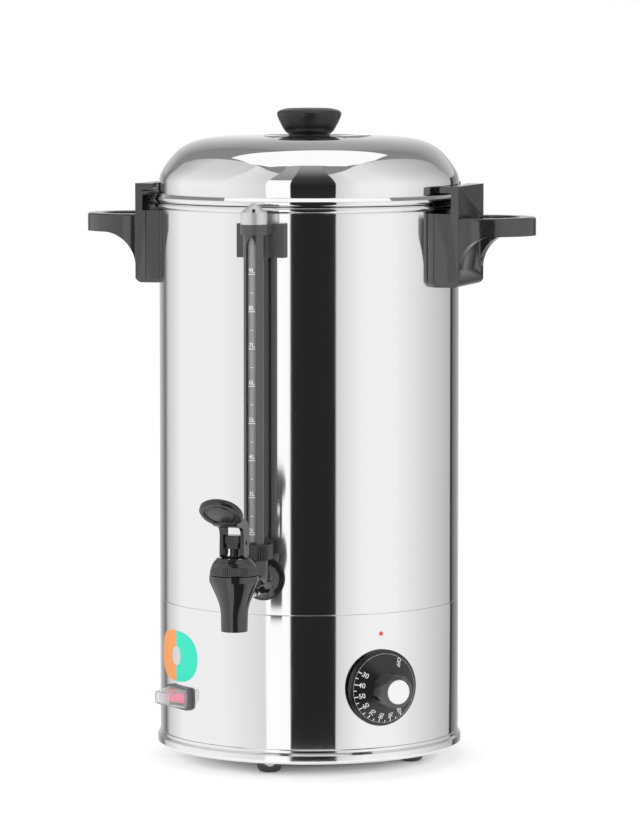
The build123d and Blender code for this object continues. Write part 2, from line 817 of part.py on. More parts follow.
with BuildPart() as terminal_screws:
    with BuildSketch(Plane.XY.offset(pan_z + pan_sheet + block_height - 6)):
        with Locations((0, block_y)):
            with GridLocations(block_width / 3, block_depth / 2, 3, 2):
                Circle(2.1)
    extrude(amount=4)
save(terminal_screws, "terminal_screws")

# ---- tap --------------------------------------------------------------------------
gasket_face = body_radius + tap_gasket_height
flange_face = gasket_face + flange_height
thread_end = inner_radius - backnut_height - 5

with BuildPart() as tap_gasket:
    with BuildSketch(outward(0, body_radius - 4, shank_z)):
        Circle(flange_radius + 0.8)
        Circle(thread_radius + fit_gap, mode=Mode.SUBTRACT)
    extrude(amount=4 + tap_gasket_height)
    with BuildSketch(Plane.XY.offset(shank_z - 2 * flange_radius)):
        Circle(body_radius + fit_gap)
    extrude(amount=4 * flange_radius, mode=Mode.SUBTRACT)
save(tap_gasket, "tap_gasket")

with BuildPart() as tap_body:
    with BuildSketch(upright(tap_reach)):
        with BuildLine():
            Polyline(
                (0, valve_rim_z),
                (valve_rim_radius, valve_rim_z),
                (valve_rim_radius, valve_rim_z - valve_rim_height),
            )
            Spline(
                (valve_rim_radius, valve_rim_z - valve_rim_height),
                (0.5 * (valve_rim_radius + waist_radius) - 0.6, shank_z - 3.0),
                (waist_radius, shank_z - waist_drop),
                (spout_radius, spout_z),
                tangents=((-0.4, -1), (-0.06, -1)),
            )
            Polyline((spout_radius, spout_z), (0, spout_z), (0, valve_rim_z))
        make_face()
    revolve(axis=upright_axis(tap_reach))
    with BuildSketch(outward(0, flange_face - flange_height, shank_z)):
        Circle(flange_radius)
    extrude(amount=flange_height - 1)
    with BuildSketch(outward(0, flange_face - 1, shank_z)):
        Circle(flange_radius - 1.2)
    with BuildSketch(outward(0, flange_face + 3, shank_z)):
        Circle(shank_radius)
    loft()
    with BuildSketch(outward(0, flange_face, shank_z)):
        Circle(shank_radius)
    extrude(amount=tap_reach - flange_face)
    with BuildSketch(outward(0, thread_end, shank_z)):
        Circle(thread_radius)
    extrude(amount=gasket_face - thread_end + 1)
    with BuildSketch(Plane.XY.offset(shank_z)):
        with Locations((0, -gauge_reach)):
            Circle(gauge_boss_radius)
    extrude(amount=gauge_boss_rise)
    # waterways: inlet, gauge feed, tube socket, valve chamber and spout
    with BuildSketch(outward(0, thread_end, shank_z)):
        Circle(shank_bore)
    extrude(amount=tap_reach - thread_end, mode=Mode.SUBTRACT)
    with BuildSketch(Plane.XY.offset(shank_z)):
        with Locations((0, -gauge_reach)):
            Circle(gauge_tube_bore)
    extrude(amount=gauge_boss_rise, mode=Mode.SUBTRACT)
    with BuildSketch(Plane.XY.offset(boss_top_z - 8)):
        with Locations((0, -gauge_reach)):
            Circle(gauge_tube_radius + 1.6)
    extrude(amount=8, mode=Mode.SUBTRACT)
    with BuildSketch(Plane.XY.offset(seat_z)):
        with Locations((0, -tap_reach)):
            Circle(chamber_low_radius)
    with BuildSketch(Plane.XY.offset(valve_rim_z)):
        with Locations((0, -tap_reach)):
            Circle(chamber_radius)
    loft(mode=Mode.SUBTRACT)
    with BuildSketch(Plane.XY.offset(spout_z)):
        with Locations((0, -tap_reach)):
            Circle(spout_bore)
    extrude(amount=seat_z - spout_z, mode=Mode.SUBTRACT)
save(tap_body, "tap_body")

washer_face = sqrt(inner_radius**2 - backnut_radius**2) - fit_gap
with BuildPart() as tap_washer:
    with BuildSketch(outward(0, washer_face - 2, shank_z)):
        Circle(backnut_radius)
        Circle(thread_radius + fit_gap, mode=Mode.SUBTRACT)
    extrude(amount=2)
save(tap_washer, "tap_washer")

with BuildPart() as tap_backnut:
    with BuildSketch(outward(0, washer_face - 2 - backnut_height, shank_z)):
        RegularPolygon(backnut_radius, 6)
        Circle(thread_radius + press_gap, mode=Mode.SUBTRACT)
    extrude(amount=backnut_height)
save(tap_backnut, "tap_backnut")

rib_depth = 0.5
bonnet_band = 7.0
spigot_radius = chamber_radius - 1.2
with BuildPart() as tap_bonnet:
    with BuildSketch(upright(tap_reach)):
        with BuildLine():
            Polyline(
                (stem_radius + bearing_gap, bonnet_top_z),
                (bonnet_top_radius, bonnet_top_z),
                (bonnet_top_radius + 2.2, bonnet_top_z - 4),
                (valve_rim_radius - 1.2, valve_rim_z + bonnet_band),
                (valve_rim_radius - 0.4, valve_rim_z + press_gap),
                (spigot_radius, valve_rim_z + press_gap),
                (spigot_radius, valve_rim_z - bonnet_spigot),
                (spigot_radius - bonnet_wall, valve_rim_z - bonnet_spigot),
                (spigot_radius - bonnet_wall, bonnet_top_z - bonnet_wall),
                (stem_radius + bearing_gap, bonnet_top_z - bonnet_wall),
                close=True,
            )
        make_face()
    revolve(axis=upright_axis(tap_reach))
    with BuildSketch(Plane.XY.offset(valve_rim_z)):
        with Locations((0, -tap_reach)):
            with PolarLocations(valve_rim_radius, rib_count):
                RegularPolygon(0.5 + rib_depth, 3, rotation=180)
    extrude(amount=bonnet_band - 0.5, mode=Mode.SUBTRACT)
save(tap_bonnet, "tap_bonnet")

head_top_z = pin_z + stem_head_rise
with BuildPart() as tap_stem:
    with BuildSketch(Plane.XY.offset(seat_z + 2)):
        with Locations((0, -tap_reach)):
            Circle(stem_radius)
    extrude(amount=pin_z - seat_z - 2)
    with BuildSketch(Plane.XY.offset(head_top_z - stem_head_height)):
        with Locations((0, -tap_reach)):
            RectangleRounded(stem_head_width - 2, stem_head_depth, 1.5)
    extrude(amount=stem_head_height)
    with BuildSketch(Plane.XY.offset(head_top_z - stem_head_cap)):
        with Locations((0, -tap_reach)):
            RectangleRounded(stem_head_width, stem_head_depth + 1, 1.5)
    extrude(amount=stem_head_cap - stem_head_step)
    with BuildSketch(Plane.YZ.offset(-stem_head_width)):
        with Locations((-tap_reach, pin_z)):
            Circle(lever_pin_radius + press_gap)
    extrude(amount=2 * stem_head_width, mode=Mode.SUBTRACT)
save(tap_stem, "tap_stem")

with BuildPart() as seat_cup:
    with BuildSketch(upright(tap_reach)):
        with BuildLine():
            Polyline(
                (0, seat_z + lid_lift_gap),
                (seat_cup_radius - 1.5, seat_z + lid_lift_gap),
                (seat_cup_radius, seat_z + 2),
                (seat_cup_radius, seat_z + seat_cup_height - 1),
                (seat_cup_radius - 1, seat_z + seat_cup_height),
                (stem_radius + press_gap, seat_z + seat_cup_height),
                (stem_radius + press_gap, seat_z + 2 - press_gap),
                (0, seat_z + 2 - press_gap),
                close=True,
            )
        make_face()
    revolve(axis=upright_axis(tap_reach))
save(seat_cup, "seat_cup")

spring_low_z = seat_z + seat_cup_height + fit_gap
spring_top_z = bonnet_top_z - bonnet_wall - fit_gap
spring_length = spring_top_z - spring_low_z
spring_pitch = (spring_length - 2 * spring_wire) / spring_turns
with BuildPart() as tap_spring:
    with BuildLine() as spring_path:
        Helix(
            spring_pitch,
            spring_pitch * spring_turns,
            spring_coil_radius,
            center=(0, -tap_reach, spring_low_z + spring_wire),
        )
    with BuildSketch(Plane(origin=spring_path.line @ 0, z_dir=spring_path.line % 0)):
        Circle(spring_wire / 2)
    sweep(is_frenet=True)
    for ring_z in (spring_low_z + spring_wire / 2, spring_top_z - spring_wire / 2):
        with BuildSketch(upright(tap_reach)):
            with Locations((spring_coil_radius, ring_z)):
                Rectangle(1.2 * spring_wire, spring_wire)
        revolve(axis=upright_axis(tap_reach))
save(tap_spring, "tap_spring")

pin_length = stem_head_width + 2 * lever_cheek - 1.0
with BuildPart() as lever_pin:
    with BuildSketch(Plane.YZ.offset(-pin_length / 2)):
        with Locations((-tap_reach, pin_z)):
            Circle(lever_pin_radius)
    extrude(amount=pin_length)
save(lever_pin, "lever_pin")

lever_slot = stem_head_width + 2 * run_gap
lever_width = lever_slot + 2 * lever_cheek
lean = radians(lever_lean)
paddle_y = -tap_reach - paddle_offset * sin(lean)
paddle_z = pin_z + paddle_offset * cos(lean)
heel_z = bonnet_top_z + lever_heel_gap
neck_z = head_top_z + stem_lift + window_rise
paddle_rim = paddle_height / 2
paddle_recess = 0.6
paddle_section = Plane(
    origin=(0, paddle_y, paddle_z), x_dir=(1, 0, 0), z_dir=(0, sin(lean), -cos(lean))
)
with BuildPart() as tap_lever:
    with BuildSketch(Plane.YZ.offset(-lever_width / 2)):
        with BuildLine():
            heel = Polyline(
                (-tap_reach - 0.35 * lever_depth, heel_z),
                (-tap_reach + 0.35 * lever_depth, heel_z),
                (-tap_reach + 0.5 * lever_depth, heel_z + 2),
                (-tap_reach + 0.5 * lever_depth, neck_z - 4),
            )
            Spline(
                heel @ 1,
                (-tap_reach - 1.0, neck_z + 5),
                (paddle_y + 9.5, paddle_z - 1.0),
                tangents=((0, 1), (-1, 1)),
            )
            Line((paddle_y + 9.5, paddle_z - 1.0), (paddle_y + 6.0, paddle_z - 8.0))
            Spline(
                (paddle_y + 6.0, paddle_z - 8.0),
                (-tap_reach - 0.5 * lever_depth - 2.2, neck_z - 1.0),
                (-tap_reach - 0.5 * lever_depth, heel_z + 2),
                tangents=((1, -1), (0, -1)),
            )
            Line((-tap_reach - 0.5 * lever_depth, heel_z + 2), heel @ 0)
        make_face()
    extrude(amount=lever_width)
    with BuildSketch(paddle_section):
        with BuildLine():
            Polyline(
                (0, paddle_rim - paddle_recess),
                (paddle_dish - 2.2, paddle_rim - paddle_recess),
                (paddle_dish - 1.8, paddle_rim - 2 * paddle_recess),
                (paddle_dish, paddle_rim - 2 * paddle_recess),
                (paddle_dish + 0.6, paddle_rim),
                (paddle_radius - 1.4, paddle_rim),
                (paddle_radius, 0.4 * paddle_rim),
                (paddle_radius, -0.4 * paddle_rim),
                (paddle_radius - 1.4, -paddle_rim),
                (paddle_dish + 0.6, -paddle_rim),
                (paddle_dish - 0.4, paddle_recess - paddle_rim),
                (0, paddle_recess - paddle_rim),
                close=True,
            )
        make_face()
    revolve(axis=Axis(paddle_section.origin, paddle_section.y_dir))
    # slot for the stem's head, with the window above it
    with BuildSketch(Plane.XY.offset(heel_z - 1)):
        with Locations((0, -tap_reach)):
            Rectangle(lever_slot, 3 * lever_depth)
    extrude(amount=neck_z - heel_z + 1, mode=Mode.SUBTRACT)
    with BuildSketch(Plane.YZ.offset(-lever_width)):
        with Locations((-tap_reach, pin_z)):
            Circle(lever_pin_radius + bearing_gap)
    extrude(amount=2 * lever_width, mode=Mode.SUBTRACT)
save(tap_lever, "tap_lever")

# ---- sight gauge ------------------------------------------------------------------
tube_low_z = boss_top_z - 4.5
tube_top_z = cap_low_z + 4.0
with BuildPart() as gauge_tube:
    with BuildSketch(Plane.XY.offset(tube_low_z)):
        with Locations((0, -gauge_reach)):
            Circle(gauge_tube_radius)
            Circle(gauge_tube_bore, mode=Mode.SUBTRACT)
    extrude(amount=tube_top_z - tube_low_z)
save(gauge_tube, "gauge_tube")

with BuildPart() as gauge_seal:
    with BuildSketch(Plane.XY.offset(boss_top_z - 4.5)):
        with Locations((0, -gauge_reach)):
            Circle(gauge_tube_radius + 1.5)
            Circle(gauge_tube_radius + press_gap, mode=Mode.SUBTRACT)
    extrude(amount=4.4)
save(gauge_seal, "gauge_seal")

with BuildPart() as gauge_nut:
    with BuildSketch(upright(gauge_reach)):
        with BuildLine():
            Polyline(
                (gauge_boss_radius + press_gap, gauge_nut_z),
                (gauge_nut_radius, gauge_nut_z),
                (gauge_nut_top_radius + 0.4, gauge_nut_top_z - 1.4),
                (gauge_nut_top_radius - 0.8, gauge_nut_top_z),
                (gauge_shield_radius + fit_gap, gauge_nut_top_z),
                (gauge_shield_radius + fit_gap, boss_top_z + 2.0),
                (gauge_tube_radius + fit_gap, boss_top_z + 2.0),
                (gauge_tube_radius + fit_gap, boss_top_z + press_gap),
                (gauge_boss_radius + press_gap, boss_top_z + press_gap),
                close=True,
            )
        make_face()
    revolve(axis=upright_axis(gauge_reach))
    with BuildSketch(Plane.XY.offset(gauge_nut_z)):
        with Locations((0, -gauge_reach)):
            with PolarLocations(gauge_nut_radius + 0.2, rib_count):
                RegularPolygon(0.5 + rib_depth, 3, rotation=180)
    extrude(amount=gauge_nut_height - 3, mode=Mode.SUBTRACT)
save(gauge_nut, "gauge_nut")

shield_low_z = boss_top_z + 2.0 + press_gap
slot_top_z = rim_z - gauge_slot_top
slot_low_z = gauge_nut_top_z + 1.5
with BuildPart() as gauge_shield:
    with BuildSketch(Plane.XY.offset(shield_low_z)):
        with Locations((0, -gauge_reach)):
            Circle(gauge_shield_radius)
            Circle(gauge_shield_bore, mode=Mode.SUBTRACT)
    extrude(amount=cap_low_z - press_gap - shield_low_z)
    with BuildSketch(outward(0, gauge_reach, 0)):
        with BuildLine():
            rise = 1.25 * gauge_slot
            Polyline(
                (-gauge_slot / 2, slot_top_z - rise),
                (-gauge_slot / 2, slot_low_z),
                (gauge_slot / 2, slot_low_z),
                (gauge_slot / 2, slot_top_z - rise),
            )
            ThreePointArc(
                (gauge_slot / 2, slot_top_z - rise),
                (0.36 * gauge_slot, slot_top_z - 0.45 * rise),
                (0, slot_top_z),
            )
            ThreePointArc(
                (0, slot_top_z),
                (-0.36 * gauge_slot, slot_top_z - 0.45 * rise),
                (-gauge_slot / 2, slot_top_z - rise),
            )
        make_face()
    extrude(amount=gauge_shield_radius + 2, mode=Mode.SUBTRACT)
save(gauge_shield, "gauge_shield")

plate_face = body_radius + bracket_plate
with BuildPart() as gauge_bracket:
    with BuildSketch(Plane.XY.offset(bracket_low_z)):
        with Locations((0, -body_radius - bracket_plate / 2 + 4)):
            Rectangle(2 * bracket_half_width, bracket_plate + 8)
        with Locations((0, -(plate_face + gauge_reach) / 2)):
            Rectangle(2 * gauge_shield_radius, gauge_reach - plate_face)
    extrude(amount=bracket_height - fit_gap)
    with BuildSketch(Plane.XY.offset(cap_low_z - collar_height)):
        with Locations((0, -gauge_reach)):
            Circle(gauge_cap_radius)
        with Locations((0, -(body_radius + gauge_reach) / 2)):
            Rectangle(2 * gauge_cap_radius, gauge_reach - body_radius)
    extrude(amount=collar_height - fit_gap)
    with BuildSketch(Plane.XY.offset(bracket_low_z - 1)):
        with Locations((0, -gauge_reach)):
            Circle(gauge_shield_radius + fit_gap)
        Circle(body_radius + fit_gap)
    extrude(amount=bracket_height + 2, mode=Mode.SUBTRACT)
    with BuildSketch(outward(0, body_radius - 4, bracket_screw_z)):
        with Locations((gauge_screw_spread, 0), (-gauge_screw_spread, 0)):
            Circle(gauge_screw_radius + press_gap)
    extrude(amount=4 + 0.7 * bracket_plate, mode=Mode.SUBTRACT)
save(gauge_bracket, "gauge_bracket")

bracket_wall_in = sqrt(inner_radius**2 - (gauge_screw_spread + 3) ** 2)
with BuildPart() as gauge_screws:
    with BuildSketch(outward(0, bracket_wall_in - 1.8, bracket_screw_z)):
        with Locations((gauge_screw_spread, 0), (-gauge_screw_spread, 0)):
            Circle(3.0)
    extrude(amount=1.7)
    with BuildSketch(outward(0, bracket_wall_in - 1, bracket_screw_z)):
        with Locations((gauge_screw_spread, 0), (-gauge_screw_spread, 0)):
            Circle(gauge_screw_radius)
    extrude(amount=body_radius + 0.5 * bracket_plate - bracket_wall_in)
save(gauge_screws, "gauge_screws")

with BuildPart() as gauge_cap:
    with BuildSketch(upright(gauge_reach)):
        with BuildLine():
            Polyline(
                (0, cap_top_z),
                (1.2, cap_top_z - 0.3),
                (gauge_cap_radius - 0.6, cap_low_z + gauge_cap_shoulder + 0.6),
                (gauge_cap_radius, cap_low_z + gauge_cap_shoulder - 0.3),
                (gauge_cap_radius, cap_low_z),
                (gauge_tube_radius + 0.3, cap_low_z),
                (gauge_tube_radius + 0.3, tube_top_z + 0.5),
                (0, tube_top_z + 0.5),
                close=True,
            )
        make_face()
    revolve(axis=upright_axis(gauge_reach))
    vent = radians(cap_vent_turn)
    with BuildSketch(
        Plane(
            origin=(0, -gauge_reach, cap_low_z + gauge_cap_shoulder + 1.2),
            x_dir=(cos(vent), sin(vent), 0),
            z_dir=(sin(vent), -cos(vent), 0),
        )
    ):
        Rectangle(cap_vent_width, cap_vent_height)
    extrude(amount=gauge_cap_radius + 1, mode=Mode.SUBTRACT)
    with BuildSketch(Plane.XY.offset(tube_top_z)):
        with Locations((0, -gauge_reach)):
            Circle(2.0)
    extrude(amount=4, mode=Mode.SUBTRACT)
save(gauge_cap, "gauge_cap")

# ---- handles ----------------------------------------------------------------------
root_x = body_radius + handle_root_depth
gusset_low_z = loop_low_z - gusset_radius
with BuildPart() as handle_right:
    # flat loop to lift by, on two gussets that sweep down into the block
    with BuildSketch(Plane.XY.offset(gusset_low_z)):
        with Locations((loop_x, 0)):
            Circle(loop_radius)
            Circle(loop_hole_radius, mode=Mode.SUBTRACT)
    extrude(amount=loop_top_z - gusset_low_z)
    fillet(handle_right.edges().group_by(Axis.Z)[-1], loop_rounding)
    with BuildSketch(Plane.XZ.offset(-2 * loop_radius)):
        with BuildLine():
            RadiusArc(
                (handle_x, gusset_low_z), (handle_x + gusset_radius, loop_low_z), gusset_radius
            )
            Polyline(
                (handle_x + gusset_radius, loop_low_z),
                (loop_x + 2 * loop_radius, loop_low_z),
                (loop_x + 2 * loop_radius, gusset_low_z - 1),
                (handle_x, gusset_low_z - 1),
                (handle_x, gusset_low_z),
            )
        make_face()
    extrude(amount=4 * loop_radius, mode=Mode.SUBTRACT)
    # block that hugs the tank, with a stepped root and a rounded foot
    with BuildSketch(Plane.XZ.offset(-handle_half_width)):
        with BuildLine():
            Polyline(
                (handle_x - handle_stock, ledge_z),
                (handle_x, ledge_z),
                (handle_x, handle_low_z + handle_foot_rounding),
            )
            RadiusArc(
                (handle_x, handle_low_z + handle_foot_rounding),
                (handle_x - handle_foot_rounding, handle_low_z),
                handle_foot_rounding,
            )
            Polyline(
                (handle_x - handle_foot_rounding, handle_low_z),
                (handle_x - handle_stock, handle_low_z),
                (handle_x - handle_stock, ledge_z),
            )
        make_face()
    extrude(amount=2 * handle_half_width)
    with BuildSketch(Plane.XY.offset(handle_low_z - 1)):
        for side in (1, -1):
            with Locations((root_x, side * (handle_half_width - handle_root_step / 2))):
                Rectangle(handle_stock, handle_root_step, align=(Align.MAX, Align.CENTER))
    extrude(amount=ledge_z - handle_low_z + 2, mode=Mode.SUBTRACT)
    # hook over the rims: an outer wall and a top bar
    with BuildSketch(Plane.XY.offset(ledge_z - hook_wall)):
        with Locations((handle_x - hook_wall, 0)):
            Rectangle(hook_wall, 2 * handle_half_width, align=(Align.MIN, Align.CENTER))
    extrude(amount=hook_height + hook_wall)
    with BuildSketch(Plane.XY.offset(hook_z - hook_bar)):
        with Locations((handle_x, 0)):
            Rectangle(handle_stock, 2 * handle_half_width, align=(Align.MAX, Align.CENTER))
    extrude(amount=hook_bar)
    # clear the tank below the ledge, and the rims and the lid above it
    with BuildSketch(Plane.XY.offset(handle_low_z - 1)):
        Circle(body_radius + fit_gap)
    extrude(amount=hook_z - handle_low_z + 2, mode=Mode.SUBTRACT)
    with BuildSketch(Plane.XY.offset(ledge_z)):
        Circle(body_radius + hook_tip_gap)
    extrude(amount=hook_height + 1, mode=Mode.SUBTRACT)
    for height in handle_screw_zs:
        with BuildSketch(outward(90, body_radius - 2, height)):
            Circle(handle_screw_radius + press_gap)
        extrude(amount=handle_screw_grip + 3, mode=Mode.SUBTRACT)
save(handle_right, "handle_right")

with BuildPart() as handle_left:
    add(handle_right.part.mirror(Plane.YZ))
save(handle_left, "handle_left")

wall_in = sqrt(inner_radius**2 - handle_washer_radius**2)
with BuildPart() as handle_washers:
    for side in (90, -90):
        for height in handle_screw_zs:
            with BuildSketch(outward(side, wall_in - handle_washer_height, height)):
                Circle(handle_washer_radius)
                Circle(handle_screw_radius + press_gap, mode=Mode.SUBTRACT)
            extrude(amount=handle_washer_height - press_gap)
save(handle_washers, "handle_washers")

head_face = wall_in - handle_washer_height - press_gap
with BuildPart() as handle_screws:
    for side in (90, -90):
        for height in handle_screw_zs:
            with BuildSketch(outward(side, head_face - screw_head_height, height)):
                Circle(handle_screw_head)
            extrude(amount=screw_head_height)
            with BuildSketch(outward(side, head_face - 1, height)):
                Circle(handle_screw_radius)
            extrude(amount=body_radius + handle_screw_grip - head_face + 1)
save(handle_screws, "handle_screws")

# ---- lid --------------------------------------------------------------------------
dish_edge = dish_radius + 4.5


def dome_outline(inset):
    """Closed half section under the lid's skin, moved in by inset."""
    top = crown_z - inset
    Polyline((0, lid_wall_z), (body_radius - inset, lid_wall_z), (body_radius - inset, shoulder_z))
    Spline(
        (body_radius - inset, shoulder_z),
        (0.956 * body_radius - inset, shoulder_z + 0.35 * (crown_z - shoulder_z)),
        (0.858 * body_radius - 0.8 * inset, shoulder_z + 0.71 * (crown_z - shoulder_z) - inset),
        (0.553 * body_radius, top - 0.8),
        (dish_edge + 8, top),
        tangents=((0, 1), (-1, 0)),
    )
    Line((dish_edge + 8, top), (dish_edge, top))
    Spline(
        (dish_edge, top),
        (dish_radius, dish_z - inset),
        tangents=((-1, 0), (-1, 0)),
    )
    Polyline((dish_radius, dish_z - inset), (0, dish_z - inset), (0, lid_wall_z))


lip_outer = inner_radius - lid_lip_gap
with BuildPart() as lid_dome:
    with BuildSketch(Plane.XZ):
        with BuildLine():
            dome_outline(0)
        make_face()
    revolve(axis=Axis.Z)
    with BuildSketch(Plane.XZ):
        with BuildLine():
            dome_outline(sheet)
        make_face()
    revolve(axis=Axis.Z, mode=Mode.SUBTRACT)
    with BuildSketch(Plane.XY.offset(dish_z - 5)):
        Circle(knob_screw_radius + fit_gap)
    extrude(amount=10, mode=Mode.SUBTRACT)
    with BuildSketch(Plane.XY.offset(crown_z - 8)):
        with PolarLocations(vent_circle, vent_count, start_angle=vent_turn):
            Circle(vent_radius)
    extrude(amount=12, mode=Mode.SUBTRACT)
save(lid_dome, "lid_dome")

with BuildPart() as lid_ring:
    with BuildSketch(Plane.XZ):
        with Locations((lip_outer - sheet, lid_z)):
            Rectangle(
                rim_outer_radius - lip_outer + sheet,
                lid_bead_height - press_gap,
                align=(Align.MIN, Align.MIN),
            )
        fillet(vertices().sort_by(Axis.X)[-2:], lid_bead_rounding)
        with Locations((lip_outer - sheet, lid_z - lid_lip_depth)):
            Rectangle(sheet, lid_lip_depth + 1, align=(Align.MIN, Align.MIN))
    revolve(axis=Axis.Z)
save(lid_ring, "lid_ring")

lug_low_z = lid_wall_z + 0.3
lug_reach = handle_face - hook_wall - run_gap
lug_azimuths = (90 + lug_turn, 270 + lug_turn)
rivet_zs = (lug_low_z + 0.38 * lug_height, lug_low_z + 0.82 * lug_height)
with BuildPart() as lid_lugs:
    for azimuth in lug_azimuths:
        with BuildSketch(outward(azimuth, body_radius - 2, lug_low_z)):
            Rectangle(lug_width, lug_height, align=(Align.CENTER, Align.MIN))
        extrude(amount=2 + lug_sheet)
        with BuildSketch(outward(azimuth, body_radius - 2, lug_low_z)):
            Rectangle(lug_width, lug_sheet, align=(Align.CENTER, Align.MIN))
        extrude(amount=2 + lug_reach)
    with BuildSketch(Plane.XY.offset(lug_low_z - 1)):
        Circle(body_radius + press_gap)
    extrude(amount=lug_height + 2, mode=Mode.SUBTRACT)
    for azimuth in lug_azimuths:
        for height in rivet_zs:
            with BuildSketch(outward(azimuth, body_radius - 3, height)):
                Circle(rivet_radius + press_gap)
            extrude(amount=8, mode=Mode.SUBTRACT)
save(lid_lugs, "lid_lugs")

with BuildPart() as lug_rivets:
    for azimuth in lug_azimuths:
        for height in rivet_zs:
            with BuildSketch(outward(azimuth, body_radius + press_gap, height)):
                Circle(rivet_radius)
            extrude(amount=lug_sheet)
            with BuildSketch(outward(azimuth, body_radius + lug_sheet + press_gap, height)):
                Circle(rivet_radius + 0.5)
            extrude(amount=0.8)
save(lug_rivets, "lug_rivets")

knob_z = dish_z + press_gap
with BuildPart() as lid_knob:
    with BuildSketch(Plane.XZ):
        with BuildLine():
            Polyline(
                (0, knob_z),
                (knob_neck_radius, knob_z),
                (knob_neck_radius, knob_z + knob_neck_height),
            )
            Spline(
                (knob_neck_radius, knob_z + knob_neck_height),
                (0.87 * knob_radius, knob_z + 0.5 * knob_edge_height + 1.5),
                (knob_radius, knob_z + knob_edge_height),
                tangents=((1, 0.55), (0.15, 1)),
            )
            Spline(
                (knob_radius, knob_z + knob_edge_height),
                (0.86 * knob_radius, knob_z + knob_height - 0.9),
                (0, knob_z + knob_height),
                tangents=((-0.2, 1), (-1, 0)),
            )
            Line((0, knob_z + knob_height), (0, knob_z))
        make_face()
    revolve(axis=Axis.Z)
    with BuildSketch(Plane.XY.offset(knob_z)):
        Circle(knob_screw_radius + press_gap)
    extrude(amount=knob_screw_length - 3, mode=Mode.SUBTRACT)
save(lid_knob, "lid_knob")

under_dish_z = dish_z - sheet
with BuildPart() as knob_washer:
    with BuildSketch(Plane.XY.offset(under_dish_z - knob_washer_height - press_gap)):
        Circle(knob_washer_radius)
        Circle(knob_screw_radius + press_gap, mode=Mode.SUBTRACT)
    extrude(amount=knob_washer_height)
save(knob_washer, "knob_washer")

knob_head_z = under_dish_z - knob_washer_height - 0.1
with BuildPart() as knob_screw:
    with BuildSketch(Plane.XY.offset(knob_head_z - 3)):
        Circle(knob_screw_head_radius)
    extrude(amount=3)
    with BuildSketch(Plane.XY.offset(knob_head_z)):
        Circle(knob_screw_radius)
    extrude(amount=knob_screw_length - 3)
save(knob_screw, "knob_screw")
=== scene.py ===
import json
from math import atan, atan2, cos, degrees, pi, radians, sin

import bmesh
import bpy
import numpy as np
from mathutils import Matrix, Vector

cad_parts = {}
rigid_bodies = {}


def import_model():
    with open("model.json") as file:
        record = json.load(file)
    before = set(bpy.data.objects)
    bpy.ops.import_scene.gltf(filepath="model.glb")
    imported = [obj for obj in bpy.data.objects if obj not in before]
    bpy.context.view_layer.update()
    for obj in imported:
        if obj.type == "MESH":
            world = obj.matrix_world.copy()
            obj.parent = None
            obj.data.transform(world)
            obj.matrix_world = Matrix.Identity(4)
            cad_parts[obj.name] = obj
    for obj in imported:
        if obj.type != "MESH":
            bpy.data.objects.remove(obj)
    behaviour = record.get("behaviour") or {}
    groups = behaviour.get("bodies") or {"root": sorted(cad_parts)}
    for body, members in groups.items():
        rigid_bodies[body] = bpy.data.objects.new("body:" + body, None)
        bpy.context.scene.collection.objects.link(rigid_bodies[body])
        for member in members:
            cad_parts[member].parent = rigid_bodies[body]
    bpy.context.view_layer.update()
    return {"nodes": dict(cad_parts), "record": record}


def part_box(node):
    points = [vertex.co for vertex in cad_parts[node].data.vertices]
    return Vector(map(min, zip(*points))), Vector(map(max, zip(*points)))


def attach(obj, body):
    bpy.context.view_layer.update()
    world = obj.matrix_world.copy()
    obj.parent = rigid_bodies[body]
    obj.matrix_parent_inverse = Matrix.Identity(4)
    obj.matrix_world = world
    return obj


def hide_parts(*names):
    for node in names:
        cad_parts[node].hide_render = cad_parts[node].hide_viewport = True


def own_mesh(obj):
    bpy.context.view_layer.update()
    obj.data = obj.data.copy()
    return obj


for left_over in list(bpy.data.objects):
    bpy.data.objects.remove(left_over)
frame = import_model()

bl_info = {
    "name": "Hot water urn",
    "version": (1, 0, 0),
    "blender": (4, 5, 0),
    "location": "View3D > Sidebar > Urn",
    "description": "Builds the finished surfaces of a hot water urn round its packed parts",
    "category": "Add Mesh",
}

MM = 0.001
SHARP_FOLD = 35.0           # folds steeper than this stay sharp, in degrees
RELIEF_DEPTH = 0.2 * MM     # depth of a finish's bump at full strength
FONT_TO_FIGURE = 1.42       # size of the font over the height of its figures
WALL = 0.111                # radius of the body, which mirrors the light tent
DIAL_SIDE = 45.0            # where the dial stands round the body, in degrees
CAMERA_SIDE = radians(17.2)
CAMERA_AWAY = 3.136         # from the body's axis, level
TENT = 5.0                  # radius of the light tent
TENT_ROWS = 12              # steps of a card from its foot to its top
EYE_LINE = 0.43             # height round which the tent's cards rise
WALL_EDGES = {              # a flat wall's height over its distance, and where it faces
    "left": (1.85, -48.0),
    "right": (1.97, 80.0),
}
RECORD_SLOT = {part["node"]: part["material_slot"] for part in frame["record"]["subparts"]}
BODY_OF = {
    node: body
    for body, nodes in frame["record"]["behaviour"]["bodies"].items()
    for node in nodes
}


# ---- sizes and colours ------------------------------------------------------------
def length(name, description, value_mm):
    """A length that a user may change, given in millimetres and kept in metres."""
    return bpy.props.FloatProperty(
        name=name, description=description, default=value_mm * MM, min=0.0,
        precision=5, subtype="DISTANCE", unit="LENGTH",
    )


def turn(name, description, value_degrees):
    """An angle that a user may change, given in degrees."""
    return bpy.props.FloatProperty(
        name=name, description=description, default=radians(value_degrees),
        subtype="ANGLE", unit="ROTATION",
    )


def colour(name, description, value):
    """A colour that a user may change."""
    return bpy.props.FloatVectorProperty(
        name=name, description=description, default=value, size=4, min=0.0, max=1.0,
        subtype="COLOR",
    )


def level_of(node, end):
    """Height of a CAD node's low (0) or high (1) end, in millimetres."""
    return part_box(node)[end].z / MM


